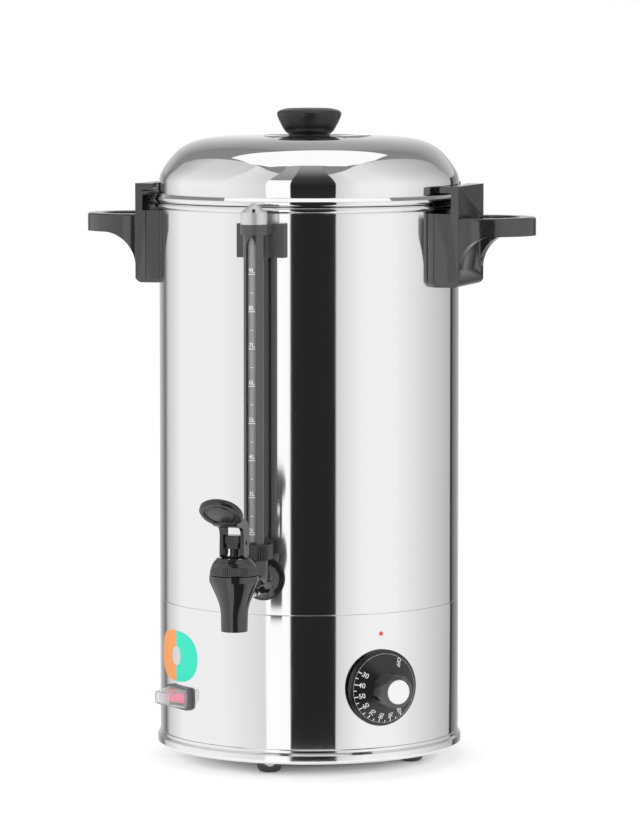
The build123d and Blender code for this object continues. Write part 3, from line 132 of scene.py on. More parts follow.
class UrnSizes(bpy.types.PropertyGroup):
    """Sizes of the urn's shells, gauge marks and dial marks."""

    body_radius: length("Body radius", "Outside of the tank and the base", 111.0)
    sheet: length("Sheet", "Thickness of the steel", 0.8)
    pan_low: length("Pan height", "Underside of the base pan", level_of("base_pan", 0))
    shell_low: length("Base height", "Lower edge of the base shell", level_of("base_shell", 0))
    seam: length("Seam height", "Seam between base and tank", level_of("base_shell", 1))
    floor: length("Floor height", "Tank floor", level_of("tank_floor", 1))
    rim: length("Rim height", "Top of the tank's rolled rim", level_of("tank", 1))
    crown: length("Crown height", "Top of the lid's dome", level_of("lid_dome", 1))
    edge: length("Sheet edge", "Rounding where two shells meet", 0.5)
    stem_stroke: length("Stem stroke", "How far the tap's stem lifts", 3.0)
    vent_radius: length("Vent radius", "Radius of the steam vents in the lid", 2.0)
    vent_circle: length("Vent circle", "Radius on which the steam vents stand", 61.5)
    litre: length("Litre", "Height of one litre in the tank", 26.55)
    first_mark: length("Lowest mark", "Height of the two litre mark", 180.1)
    face_radius: length("Dial face", "Radius of the dial's numbered face", 25.0)
    number_circle: length("Number circle", "Radius on which the dial's numbers stand", 19.9)
    number_height: length("Number height", "Height of the dial's numbers", 3.5)
    first_number: turn("First number", "Where the dial's lowest number stands", 147.5)
    number_step: turn("Number step", "Angle between two numbers of the dial", 22.4)


class UrnColours(bpy.types.PropertyGroup):
    """Colours of the urn's finishes."""

    steel: colour("Polished steel", "Tint of the polished shells", (0.86, 0.86, 0.87, 1))
    bakelite: colour("Handles", "Colour of the moulded handles", (0.018, 0.018, 0.019, 1))
    plastic: colour("Black plastic", "Colour of the tap's mouldings", (0.013, 0.013, 0.014, 1))
    print_white: colour("Print", "Colour of the marks and numbers", (0.85, 0.85, 0.85, 1))
    lens: colour("Lamp lens", "Colour of the lit rocker", (0.86, 0.07, 0.22, 1))
    pointer: colour("Pointer dot", "Colour of the dot above the dial", (0.85, 0.08, 0.03, 1))
    badge_left: colour("Badge, left", "Colour of the badge's left field", (0.95, 0.36, 0.10, 1))
    badge_right: colour("Badge, right", "Colour of its right field", (0.03, 0.78, 0.54, 1))


# ---- finishes ---------------------------------------------------------------------
FINISHES = {}


def new_material(name, cleared=True):
    """A material, with the nodes and the links of its tree."""
    material = bpy.data.materials.new(name)
    material.use_nodes = True
    nodes, links = material.node_tree.nodes, material.node_tree.links
    if cleared:
        nodes.clear()
    return material, nodes, links


def finish(name, tint, metallic, roughness, spread, grain, stretch=(1, 1, 1), relief=0.0,
           drawn=False, **sockets):
    """A surface whose gloss and relief vary finely over Object coordinates."""
    material, nodes, links = new_material(name, cleared=False)
    shader = nodes["Principled BSDF"]
    shader.inputs["Base Color"].default_value = tint
    shader.inputs["Metallic"].default_value = metallic
    for socket, value in sockets.items():
        shader.inputs[socket.replace("_", " ")].default_value = value
    place = nodes.new("ShaderNodeTexCoord")
    mapping = nodes.new("ShaderNodeMapping")
    mapping.inputs["Scale"].default_value = stretch
    noise = nodes.new("ShaderNodeTexNoise")
    noise.inputs["Scale"].default_value = grain
    noise.inputs["Detail"].default_value = 4.0
    gloss = nodes.new("ShaderNodeMapRange")
    gloss.inputs["To Min"].default_value = max(roughness - spread, 0.0)
    gloss.inputs["To Max"].default_value = roughness + spread
    links.new(place.outputs["Object"], mapping.inputs["Vector"])
    links.new(mapping.outputs["Vector"], noise.inputs["Vector"])
    links.new(noise.outputs["Fac"], gloss.inputs["Value"])
    links.new(gloss.outputs["Result"], shader.inputs["Roughness"])
    if drawn:
        grain_line = nodes.new("ShaderNodeTangent")
        grain_line.direction_type = "RADIAL"
        grain_line.axis = "Z"
        links.new(grain_line.outputs[0], shader.inputs["Tangent"])
    if relief:
        bump = nodes.new("ShaderNodeBump")
        bump.inputs["Strength"].default_value = relief
        bump.inputs["Distance"].default_value = RELIEF_DEPTH
        links.new(noise.outputs["Fac"], bump.inputs["Height"])
        links.new(bump.outputs["Normal"], shader.inputs["Normal"])
    FINISHES[name] = material


def make_finishes(tints):
    """Every finish of the urn, under the record's slot names where it has one."""
    finish("polished_steel", tints.steel, 1.0, 0.035, 0.015, 260, (1, 1, 0.15))
    finish("drawn_steel", tints.steel, 1.0, 0.10, 0.02, 260, (1, 1, 0.08), drawn=True,
           Anisotropic=0.9, Anisotropic_Rotation=0.25)
    finish("pan_steel", tints.steel, 1.0, 0.13, 0.02, 260, (1, 1, 0.15))
    finish("cast_steel", (0.78, 0.78, 0.78, 1), 1.0, 0.52, 0.06, 500, relief=0.1)
    finish("fastener_steel", (0.58, 0.58, 0.60, 1), 1.0, 0.28, 0.08, 900, relief=0.1)
    finish("aluminium", (0.70, 0.70, 0.72, 1), 1.0, 0.48, 0.08, 700, relief=0.3)
    finish("copper", (0.72, 0.36, 0.22, 1), 1.0, 0.32, 0.06, 500)
    finish("brass", (0.74, 0.56, 0.25, 1), 1.0, 0.30, 0.06, 500)
    finish("ceramic", (0.80, 0.76, 0.68, 1), 0.0, 0.45, 0.08, 800, relief=0.1)
    finish("black_bakelite", tints.bakelite, 0.0, 0.13, 0.04, 900, relief=0.04,
           Specular_IOR_Level=1.0)
    finish("black_plastic", tints.plastic, 0.0, 0.07, 0.02, 700, relief=0.02,
           Specular_IOR_Level=0.9)
    finish("gauge_plastic", (0.042, 0.042, 0.043, 1), 0.0, 0.11, 0.03, 700, relief=0.02,
           Specular_IOR_Level=0.9)
    # Black plastic with a grey base colour: painted light on the bracket's shadowed face.
    finish("bracket_plastic_painted_light", (0.070, 0.070, 0.071, 1), 0.0, 0.34, 0.05, 700, relief=0.03)
    finish("satin_plastic", tints.plastic, 0.0, 0.20, 0.04, 900, relief=0.04,
           Specular_IOR_Level=0.7)
    finish("matte_black", (0.014, 0.014, 0.015, 1), 0.0, 0.30, 0.05, 1200, relief=0.06)
    finish("dial_black", (0.013, 0.013, 0.014, 1), 0.0, 0.24, 0.04, 1200, relief=0.05)
    finish("hub_black", (0.040, 0.040, 0.041, 1), 0.0, 0.26, 0.03, 900, relief=0.03,
           Specular_IOR_Level=1.0)
    finish("grey_plastic", (0.13, 0.13, 0.135, 1), 0.0, 0.38, 0.06, 900, relief=0.1)
    finish("white_plastic", (0.86, 0.86, 0.85, 1), 0.0, 0.22, 0.04, 600)
    finish("red_lens", tints.lens, 0.0, 0.16, 0.03, 500, Emission_Color=tints.lens,
           Emission_Strength=0.35)
    finish("clear_silicone", (0.97, 0.97, 0.98, 1), 0.0, 0.20, 0.05, 400,
           Transmission_Weight=0.85, IOR=1.35)
    finish("gauge_glass", (0.50, 0.51, 0.51, 1), 0.0, 0.05, 0.02, 900, (1, 1, 0.02), 0.5,
           Transmission_Weight=0.45, IOR=1.47)
    finish("black_rubber", (0.022, 0.022, 0.022, 1), 0.0, 0.62, 0.08, 1500, relief=0.2)
    finish("foot_rubber", (0.070, 0.070, 0.071, 1), 0.0, 0.55, 0.08, 1500, relief=0.2)
    finish("grey_rubber", (0.24, 0.24, 0.25, 1), 0.0, 0.55, 0.08, 1500, relief=0.2)
    finish("print", tints.print_white, 0.0, 0.45, 0.05, 900)
    finish("pointer", tints.pointer, 0.0, 0.35, 0.04, 900)
    finish("badge_left", tints.badge_left, 0.0, 0.36, 0.05, 900, Specular_IOR_Level=0.25)
    finish("badge_right", tints.badge_right, 0.0, 0.36, 0.05, 900, Specular_IOR_Level=0.25)
    finish("badge_silver", (0.74, 0.74, 0.76, 1), 0.7, 0.34, 0.05, 900)


# ---- shapes -----------------------------------------------------------------------
def outward(azimuth, radius, height):
    """Matrix of a place on the body: x along its wall, y up, z straight out; metres."""
    a = radians(azimuth)
    out = Vector((sin(a), -cos(a), 0))
    along = Vector((cos(a), sin(a), 0))
    basis = Matrix((along, Vector((0, 0, 1)), out)).transposed().to_4x4()
    return Matrix.Translation(out * radius + Vector((0, 0, height))) @ basis


def placed(name, data):
    """A new object of the given data, in the scene."""
    made = bpy.data.objects.new(name, data)
    bpy.context.scene.collection.objects.link(made)
    return made


def settle(piece, material, body, nodes=()):
    """Give a finished mesh its material, its body and the nodes it stands for."""
    piece.data.materials.clear()
    piece.data.materials.append(FINISHES[material])
    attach(piece, body)
    if nodes:
        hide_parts(*nodes)
    return piece


def new_piece(name, vertices, faces, smooth_angle=SHARP_FOLD):
    """A mesh object with outward faces, smooth but for its real edges."""
    mesh = bpy.data.meshes.new(name)
    mesh.from_pydata([tuple(v) for v in vertices], [], faces)
    mesh.validate()
    shape = bmesh.new()
    shape.from_mesh(mesh)
    bmesh.ops.recalc_face_normals(shape, faces=shape.faces)
    shape.to_mesh(mesh)
    shape.free()
    mesh.shade_smooth()
    mesh.set_sharp_from_angle(angle=radians(smooth_angle))
    return placed(name, mesh)


def turned(name, section, steps=240, centre=(0, 0), smooth_angle=SHARP_FOLD):
    """A closed half section of (radius, height) turned round a vertical axis."""
    vertices, rings, faces = [], [], []
    for radius, height in section:
        if radius == 0:
            rings.append([len(vertices)] * steps)
            vertices.append((centre[0], centre[1], height))
            continue
        rings.append(list(range(len(vertices), len(vertices) + steps)))
        for k in range(steps):
            a = 2 * pi * k / steps
            vertices.append((centre[0] + radius * cos(a), centre[1] + radius * sin(a), height))
    for i, ring in enumerate(rings):
        following = rings[(i + 1) % len(rings)]
        for k in range(steps):
            n = (k + 1) % steps
            corners = list(dict.fromkeys((ring[k], ring[n], following[n], following[k])))
            if len(corners) > 2:
                faces.append(corners)
    return new_piece(name, vertices, faces, smooth_angle)


def arc(centre, radius, start, end, count):
    """Points of an arc in a section, angles in degrees."""
    return [
        (centre[0] + radius * cos(radians(start + (end - start) * k / count)),
         centre[1] + radius * sin(radians(start + (end - start) * k / count)))
        for k in range(count + 1)
    ]


def flowing(points, start, end, count):
    """A smooth clamped curve through the points of a section, with its end directions."""
    p = np.array(points, float)
    chord = np.linalg.norm(np.diff(p, axis=0), axis=1)
    t = np.concatenate(([0], np.cumsum(chord)))
    n = len(p)
    left, right = np.zeros((n, n)), np.zeros((n, 2))
    left[0, 0] = left[-1, -1] = 1
    right[0] = np.array(start) / np.linalg.norm(start)
    right[-1] = np.array(end) / np.linalg.norm(end)
    for i in range(1, n - 1):
        h0, h1 = chord[i - 1], chord[i]
        left[i, i - 1], left[i, i], left[i, i + 1] = h1, 2 * (h0 + h1), h0
        right[i] = 3 * (h1 * (p[i] - p[i - 1]) / h0 + h0 * (p[i + 1] - p[i]) / h1)
    slope = np.linalg.solve(left, right)
    made = []
    for i in range(n - 1):
        h = chord[i]
        for k in range(count):
            u = k / count
            made.append(tuple(
                (2 * u**3 - 3 * u**2 + 1) * p[i] + (u**3 - 2 * u**2 + u) * h * slope[i]
                + (3 * u**2 - 2 * u**3) * p[i + 1] + (u**3 - u**2) * h * slope[i + 1]
            ))
    return made + [tuple(p[-1])]


def refined(node, material, soft_edge=0.0):
    """A copy of a CAD node with joined corners and softened edges, in the node's place."""
    same_place, flat, real_edge = 0.02 * MM, radians(0.5), radians(30)
    piece = placed(node + "_finished", frame["nodes"][node].data.copy())
    shape = bmesh.new()
    shape.from_mesh(piece.data)
    bmesh.ops.remove_doubles(shape, verts=shape.verts, dist=same_place)
    bmesh.ops.dissolve_limit(shape, angle_limit=flat, verts=shape.verts, edges=shape.edges)
    shape.to_mesh(piece.data)
    shape.free()
    piece.data.shade_smooth()
    piece.data.set_sharp_from_angle(angle=real_edge)
    if soft_edge:
        soften(piece, soft_edge)
    return settle(piece, material, BODY_OF[node], [node])


def soften(piece, width):
    """Round every sharp edge of a piece."""
    bevel = piece.modifiers.new("soft edge", "BEVEL")
    bevel.width = width
    bevel.segments = 3
    bevel.limit_method = "ANGLE"
    bevel.angle_limit = radians(40)
    bevel.use_clamp_overlap = True
    bevel.harden_normals = True


def joined(pieces, smooth_angle):
    """The first of the pieces, with the others' meshes in it."""
    first = pieces[0]
    shape = bmesh.new()
    for piece in pieces:
        shape.from_mesh(piece.data)
    shape.to_mesh(first.data)
    shape.free()
    for piece in pieces[1:]:
        bpy.data.objects.remove(piece)
    first.data.shade_smooth()
    first.data.set_sharp_from_angle(angle=radians(smooth_angle))
    return first


def drilled(piece, cutter):
    """Take a cutter out of a piece and throw the cutter away."""
    cut = piece.modifiers.new("cut", "BOOLEAN")
    cut.operation = "DIFFERENCE"
    cut.solver = "EXACT"
    cut.object = cutter
    plain_mesh(piece)
    bpy.data.objects.remove(cutter)
    piece.data.set_sharp_from_angle(angle=radians(SHARP_FOLD))


def knurled(piece, centre, low, high, count, depth):
    """Press upright grooves into the wall of a turned piece between two heights."""
    for vertex in piece.data.vertices:
        if low < vertex.co.z < high:
            x, y = vertex.co.x - centre[0], vertex.co.y - centre[1]
            inward = depth * (0.5 - 0.5 * cos(count * atan2(y, x)))
            share = 1 - inward / max((x * x + y * y) ** 0.5, depth)
            vertex.co.x, vertex.co.y = centre[0] + x * share, centre[1] + y * share


def evaluated(piece):
    """The mesh that a piece's modifiers or its curve come to."""
    graph = bpy.context.evaluated_depsgraph_get()
    return bpy.data.meshes.new_from_object(piece.evaluated_get(graph))


def plain_mesh(piece):
    """Make a piece an ordinary mesh, with no modifier left on it."""
    mesh = evaluated(piece)
    piece.modifiers.clear()
    piece.data = mesh


# ---- node trees for what repeats --------------------------------------------------
def maths(tree, operation, *sources):
    """What a math node, fed by the sources in their order, gives out."""
    node = tree.nodes.new("ShaderNodeMath")
    node.operation = operation
    for source, socket in zip(sources, node.inputs):
        tree.links.new(source, socket)
    return node.outputs[0]


def marks_tree(name, ringed):
    """Bars set at even steps, round a circle or up a straight line."""
    tree = bpy.data.node_groups.new(name, "GeometryNodeTree")
    face = tree.interface
    for label in ("Step", "Start", "Radius", "Width", "Height", "Thickness", "Slope"):
        face.new_socket(label, in_out="INPUT", socket_type="NodeSocketFloat")
    for label, way, kind in (("Count", "INPUT", "Int"), ("Material", "INPUT", "Material"),
                             ("Geometry", "OUTPUT", "Geometry")):
        face.new_socket(label, in_out=way, socket_type="NodeSocket" + kind)
    n, link = tree.nodes, tree.links.new
    start, end = n.new("NodeGroupInput"), n.new("NodeGroupOutput")
    bar = n.new("GeometryNodeMeshCube")
    size = n.new("ShaderNodeCombineXYZ")
    for socket, label in zip(size.inputs, ("Width", "Height", "Thickness")):
        link(start.outputs[label], socket)
    link(size.outputs[0], bar.inputs["Size"])
    points = n.new("GeometryNodePoints")
    link(start.outputs["Count"], points.inputs["Count"])
    index = n.new("GeometryNodeInputIndex").outputs[0]
    along = maths(tree, "MULTIPLY_ADD", index, start.outputs["Step"], start.outputs["Start"])
    place = n.new("ShaderNodeCombineXYZ")
    stand = n.new("GeometryNodeInstanceOnPoints")
    if ringed:
        for operation, socket in (("COSINE", 0), ("SINE", 1)):
            wave = maths(tree, operation, along)
            reach = maths(tree, "MULTIPLY", wave, start.outputs["Radius"])
            link(reach, place.inputs[socket])
        facing = n.new("ShaderNodeCombineXYZ")
        link(along, facing.inputs[2])
        link(start.outputs["Slope"], facing.inputs[1])
        link(facing.outputs[0], stand.inputs["Rotation"])
    else:
        link(along, place.inputs[1])
    link(place.outputs[0], points.inputs["Position"])
    link(points.outputs[0], stand.inputs["Points"])
    link(bar.outputs["Mesh"], stand.inputs["Instance"])
    real = n.new("GeometryNodeRealizeInstances")
    paint = n.new("GeometryNodeSetMaterial")
    link(stand.outputs[0], real.inputs[0])
    link(real.outputs[0], paint.inputs["Geometry"])
    link(start.outputs["Material"], paint.inputs["Material"])
    link(paint.outputs[0], end.inputs[0])
    return tree


def marks(name, place, ringed, material, body, **values):
    """One piece made by the marks tree, set on its place as a plain mesh."""
    piece = placed(name, bpy.data.meshes.new(name))
    modifier = piece.modifiers.new("marks", "NODES")
    tree = marks_tree(name, ringed)
    modifier.node_group = tree
    values["Material"] = FINISHES[material]
    for item in tree.interface.items_tree:
        if item.in_out == "INPUT" and item.name in values:
            modifier[item.identifier] = values[item.name]
    plain_mesh(piece)
    if not len(piece.data.vertices):
        raise RuntimeError(f"{name} came out empty")
    piece.data.transform(place)
    settle(piece, material, body)


def lettering(name, words, height, place, material, body):
    """Upright figures as a thin mesh, centred on their place."""
    curve = bpy.data.curves.new(name, "FONT")
    curve.body = words
    curve.size = height * FONT_TO_FIGURE
    curve.align_x = "CENTER"
    curve.align_y = "CENTER"
    curve.extrude = 0.06 * MM
    curve.offset = height * 0.012       # a little bolder
    text = placed(name, curve)
    mesh = evaluated(text)
    bpy.data.objects.remove(text)
    mesh.transform(place)
    settle(placed(name, mesh), material, body)


class Maker:
    """What every operator of the urn shares."""

    bl_options = {"REGISTER"}

    def execute(self, context):
        self.make(context.scene.urn_sizes)
        return {"FINISHED"}


class URN_OT_finishes(bpy.types.Operator):
    """Make every finish and put one on each CAD node"""

    bl_idname = "urn.finishes"
    bl_label = "Finishes"

    def execute(self, context):
        make_finishes(context.scene.urn_colours)
        for node, part in frame["nodes"].items():
            part.data.materials.clear()
            part.data.materials.append(FINISHES[RECORD_SLOT[node]])
        return {"FINISHED"}


class URN_OT_shells(Maker, bpy.types.Operator):
    """Turn the polished tank, base shell and base pan, and the feet"""

    bl_idname = "urn.shells"
    bl_label = "Tank and base"

    def make(self, size):
        inner = size.body_radius - size.sheet
        skirt = inner - 0.15 * MM
        self.tank(size, inner, skirt)
        self.base(size, inner)
        self.pan(size, skirt)
        self.feet(size)

    def tank(self, size, inner, skirt):
        """The tank's wall with its rolled rim, its floor and the step inside the base."""
        outer, sheet, edge = size.body_radius, size.sheet, size.edge
        roll, step = 2.2 * MM, 8 * MM
        settle(
            turned("tank_shell", [
                (0, size.floor), (inner, size.floor), (inner, size.rim - 2 * roll),
                *arc((outer + roll / 3, size.rim - roll), roll, 218, -135, 32),
                (outer, size.rim - 2.2 * roll), (outer, size.seam + edge),
                *arc((outer - edge, size.seam + edge), edge, 0, -90, 5),
                (skirt, size.seam), (skirt, size.seam - step),
                (skirt - sheet, size.seam - step), (skirt - sheet, size.floor - sheet),
                (0, size.floor - sheet),
            ]),
            "drawn_steel", "root", ["tank", "tank_floor"],
        )

    def base(self, size, inner):
        """The base's shell, rounded where it meets the tank and the pan."""
        outer, edge = size.body_radius, size.edge
        settle(
            turned("base_skin", [
                (inner, size.shell_low), (outer - edge, size.shell_low),
                *arc((outer - edge, size.shell_low + edge), edge, -90, 0, 5),
                *arc((outer - edge, size.seam - edge), edge, 0, 90, 5),
                (inner, size.seam),
            ]),
            "drawn_steel", "root", ["base_shell"],
        )

    def pan(self, size, skirt):
        """The pan under the base, with its rolled foot and its sloped shoulder."""
        outer, low, top = size.body_radius, size.pan_low, size.shell_low
        reach, roll, sheet = outer + 1.9 * MM, 2.2 * MM, 1.5 * MM
        settle(
            turned("pan_skin", [
                (0, low), (reach - roll, low),
                *arc((reach - roll, low + roll), roll, -90, 0, 8),
                *arc((reach - 0.5 * MM, low + 6.0 * MM), 0.5 * MM, 0, 50, 5),
                (outer + 0.3 * MM, low + 8.1 * MM), (outer + 0.25 * MM, top - 0.5 * MM),
                (outer - 0.2 * MM, top - 0.05 * MM),
                (skirt, top), (skirt, top + 5.5 * MM), (skirt - sheet, top + 5.5 * MM),
                (skirt - 2 * sheet, top - 2 * MM), (skirt - 2 * sheet, low + sheet),
                (0, low + sheet),
            ]),
            "pan_steel", "root", ["base_pan"],
        )

    def feet(self, size):
        """Four rubber feet under the pan."""
        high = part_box("feet")[1]
        circle = size.body_radius - 30.5 * MM
        turns = [radians(-4 + 90 * k) for k in range(4)]
        feet = joined([
            turned("feet_finished", [
                (0, 0.0), (5.4 * MM, 0.0), (7.4 * MM, 0.7 * MM), (8.6 * MM, 2.3 * MM),
                (9.0 * MM, 4.6 * MM), (9.0 * MM, high.z), (0, high.z),
            ], 48, (circle * sin(a), -circle * cos(a)))
            for a in turns
        ], 50)
        settle(feet, "foot_rubber", "root", ["feet", "foot_screws"])


class URN_OT_lid(Maker, bpy.types.Operator):
    """Turn the lid's dome, cut its vents and finish the knob and the lugs"""

    bl_idname = "urn.lid"
    bl_label = "Lid"

    def make(self, size):
        outer, sheet = size.body_radius, size.sheet
        low = size.rim + 0.3 * MM
        wall = low + 6.4 * MM
        shoulder = low + 15.1 * MM
        rise = size.crown - shoulder
        dish = size.crown - 3.3 * MM
        bead, under, over = outer + 2.93 * MM, 2.1 * MM, 1.2 * MM
        lip, lip_foot = outer - sheet - 1.2 * MM, low - 8 * MM

        def dome(inset):
            """The lid's skin from its wall to the dish round the knob."""
            top = size.crown - inset
            out = flowing(
                [(outer - inset, shoulder),
                 (0.956 * outer - inset, shoulder + 0.35 * rise),
                 (0.858 * outer - 0.8 * inset, shoulder + 0.71 * rise - inset),
                 (0.553 * outer, top - 0.8 * MM), (35.5 * MM, top)],
                (0, 1), (-1, 0), 24,
            )
            into = flowing([(27.5 * MM, top), (23 * MM, dish - inset)], (-1, 0), (-1, 0), 10)
            return [(outer - inset, wall), *out, *into, (0, dish - inset)]

        skin = turned("lid_skin", [
            *dome(0), *reversed(dome(sheet)),
            (lip, low), (lip, lip_foot), (lip - sheet, lip_foot),
            (lip - sheet, low - 0.4 * MM), (lip, low - 0.2 * MM),
            (bead - 2.0 * MM, low),
            *arc((bead - 2.0 * MM, low + under), under, -90, 0, 8),
            *arc((bead - over, low + 2.9 * MM), over, 0, 45, 6),
            (outer + 0.35 * MM, low + 5.85 * MM), (outer + 0.05 * MM, wall - 0.2 * MM),
        ], 288)
        self.vents(skin, size)
        settle(skin, "polished_steel", "lid", ["lid_dome", "lid_ring"])
        refined("lid_knob", "matte_black")
        refined("lid_lugs", "polished_steel")

    def vents(self, skin, size):
        """Cut the three steam vents through the dome."""
        low, high = size.crown - 12 * MM, size.crown + 4 * MM
        for k in range(3):
            a = radians(72 + 120 * k)
            drilled(skin, turned("vent_drill", [
                (0, low), (size.vent_radius, low), (size.vent_radius, high), (0, high),
            ], 32, (size.vent_circle * cos(a), size.vent_circle * sin(a))))


class URN_OT_handles(Maker, bpy.types.Operator):
    """Chamfer and soften the two moulded handles"""

    bl_idname = "urn.handles"
    bl_label = "Handles"

    def make(self, size):
        for node in ("handle_left", "handle_right"):
            handle = refined(node, "black_bakelite")
            low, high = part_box(node)
            for side in (-1, 1):
                drilled(handle, self.wedge(low, high, side))
            soften(handle, 0.9 * MM)

    def wedge(self, low, high, side):
        """What the chamfer under one side of a handle takes away."""
        across = [(31.9, -0.5), (38.5, -0.5), (38.5, 3.9), (35.9, 3.9)]
        ends = [[(x, side * y * MM, low.z + z * MM) for y, z in across]
                for x in (low.x - MM, high.x + MM)]
        faces = [(3, 2, 1, 0), (4, 5, 6, 7)]
        faces += [(k, (k + 1) % 4, (k + 1) % 4 + 4, k + 4) for k in range(4)]
        return new_piece("wedge", ends[0] + ends[1], faces)


class URN_OT_tap(Maker, bpy.types.Operator):
    """Finish the draw-off tap, its lever and its return spring"""

    bl_idname = "urn.tap"
    bl_label = "Tap"

    def make(self, size):
        refined("tap_body", "black_plastic")
        refined("tap_lever", "satin_plastic", 0.35 * MM)
        refined("tap_stem", "satin_plastic", 0.3 * MM)
        self.bonnet()
        self.spring(size)

    def bonnet(self):
        """The bonnet screwed on the tap's body, with fine upright ribs round its foot."""
        low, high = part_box("tap_bonnet")
        seat, top, ribs, groove = 156.3 * MM, high.z, 72, 0.28 * MM
        centre = ((low.x + high.x) / 2, (low.y + high.y) / 2)
        wall = flowing(
            [(17.2 * MM, seat + 0.5 * MM), (17.25 * MM, seat + 1.5 * MM),
             (16.3 * MM, seat + 5.2 * MM), (14.6 * MM, seat + 9.2 * MM),
             (12.5 * MM, top - 0.5 * MM)],
            (0.2, 1), (-0.5, 1), 14,
        )
        bonnet = turned("bonnet_finished", [
            (11.0 * MM, seat - 2.8 * MM), (14.0 * MM, seat - 2.8 * MM), (14.0 * MM, seat),
            (16.6 * MM, seat), (17.0 * MM, seat + 0.2 * MM), *wall, (11.9 * MM, top),
            (9.0 * MM, top), (8.6 * MM, top - 0.4 * MM), (8.4 * MM, seat + 6 * MM),
            (11.0 * MM, seat + 3 * MM),
        ], 8 * ribs, centre)
        knurled(bonnet, centre, seat + 1.0 * MM, seat + 6.6 * MM, ribs, groove)
        settle(bonnet, "black_plastic", "root", ["tap_bonnet"])

    def spring(self, size):
        """The return spring, refined from its CAD node and given a mesh of its own."""
        spring = refined("tap_spring", RECORD_SLOT["tap_spring"])
        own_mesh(spring)


class URN_OT_gauge(Maker, bpy.types.Operator):
    """Finish the sight gauge and print its litre marks"""

    bl_idname = "urn.gauge"
    bl_label = "Sight gauge"

    def make(self, size):
        refined("gauge_shield", "gauge_plastic")
        self.nut()
        # The bracket's grey base colour is painted light on its shadowed face.
        refined("gauge_bracket", "bracket_plastic_painted_light", 0.5 * MM)
        refined("gauge_cap", "cast_steel")
        self.scale(size)

    def nut(self):
        """The knurled nut that holds the tube in the tap."""
        low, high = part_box("gauge_nut")
        centre = ((low.x + high.x) / 2, (low.y + high.y) / 2)
        reach, bore = (high.x - low.x) / 2, 7.6 * MM
        ribs, groove = 44, 0.55 * MM
        steps = [low.z + 0.6 * MM + (high.z - low.z - 1.4 * MM) * k / 6 for k in range(7)]
        nut = turned("nut_finished", [
            (bore, low.z), (reach - 0.9 * MM, low.z), *((reach, level) for level in steps),
            (reach - 0.5 * MM, high.z - 0.25 * MM), (reach - 1.0 * MM, high.z),
            (bore, high.z),
        ], 480, centre)
        knurled(nut, centre, low.z + 0.5 * MM, high.z - 0.6 * MM, ribs, groove)
        settle(nut, "black_plastic", "root", ["gauge_nut"])

    def scale(self, size):
        """Lines at each litre and half litre, and the litres' numbers."""
        face, first, litre = 138.1 * MM, size.first_mark, size.litre
        for name, count, start, width, height in (
            ("litre_lines", 8, 0.0, 5.3 * MM, 0.55 * MM),
            ("half_litre_lines", 7, litre / 2, 2.2 * MM, 0.4 * MM),
        ):
            marks(
                name, outward(0, face, first), False, "print", "root", Count=count,
                Step=litre, Start=start, Width=width, Height=height, Thickness=0.12 * MM,
            )
        for litres in range(2, 10):
            height = first + (litres - 2) * litre + 2.6 * MM
            lettering(
                f"litre_{litres}", f"{litres}L", 3.2 * MM, outward(0, face, height),
                "print", "root",
            )


class URN_OT_dial(Maker, bpy.types.Operator):
    """Finish the dial and print its scale"""

    bl_idname = "urn.dial"
    bl_label = "Dial"

    def make(self, size):
        refined("dial_hub", "hub_black")
        low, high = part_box("dial_skirt")
        azimuth, height = DIAL_SIDE, (low.z + high.z) / 2
        back = size.body_radius + 1.2 * MM
        fall = 0.58             # of the numbered face, towards its edge
        proud = 0.03 * MM       # how far the print stands off the face

        def rise(radius):
            """How far the numbered face stands out of the skirt's back."""
            return 3.2 * MM + (size.face_radius - radius) * fall

        def on_skirt(radius, angle):
            """Place on the numbered face, its x pointing towards the shaft."""
            return (
                outward(azimuth, back + rise(radius) + proud, height)
                @ Matrix.Rotation(angle, 4, "Z") @ Matrix.Translation((radius, 0, 0))
                @ Matrix.Rotation(atan(fall), 4, "Y") @ Matrix.Rotation(pi, 4, "Z")
            )

        face, hub, bore = size.face_radius, 12.4 * MM, 10.4 * MM
        cone = turned("skirt_finished", [
            (face, 0.0), (27.3 * MM, 0.0), (27.7 * MM, 0.4 * MM), (27.7 * MM, 1.0 * MM),
            (27.2 * MM, 1.6 * MM), (face + 0.3 * MM, 3.05 * MM), (face, rise(face)),
            (hub, rise(hub)), (bore, rise(hub)), (bore, 1.4 * MM),
            (face, 1.0 * MM),
        ], 160, smooth_angle=20)
        cone.data.transform(outward(azimuth, back, height))
        settle(cone, "dial_black", "dial", ["dial_skirt"])
        for k, number in enumerate(range(30, 101, 10)):
            lettering(
                f"dial_{number}", str(number), size.number_height,
                on_skirt(size.number_circle, size.first_number + k * size.number_step),
                "print", "dial",
            )
        off = on_skirt(21.4 * MM, radians(59.5))
        lettering("dial_off", "OFF", 3.1 * MM, off, "print", "dial")
        for name, count, start, long, width in (
            ("dial_long_ticks", 8, 0.0, 3.0 * MM, 0.70 * MM),
            ("dial_short_ticks", 7, 0.5, 2.2 * MM, 0.60 * MM),
        ):
            middle = face - long / 2
            marks(
                name, outward(azimuth, back + rise(middle) + proud, height), True,
                "print", "dial", Count=count, Step=size.number_step,
                Start=size.first_number + start * size.number_step, Radius=middle,
                Width=long, Height=width, Thickness=0.08 * MM, Slope=atan(fall),
            )
        line = turned("dial_line", [
            (face - 0.2 * MM, 0.0), (face, 0.0), (face, 0.06 * MM),
            (face - 0.2 * MM, 0.08 * MM),
        ], 120)
        line.data.transform(outward(azimuth, back + rise(face), height))
        settle(line, "print", "dial")


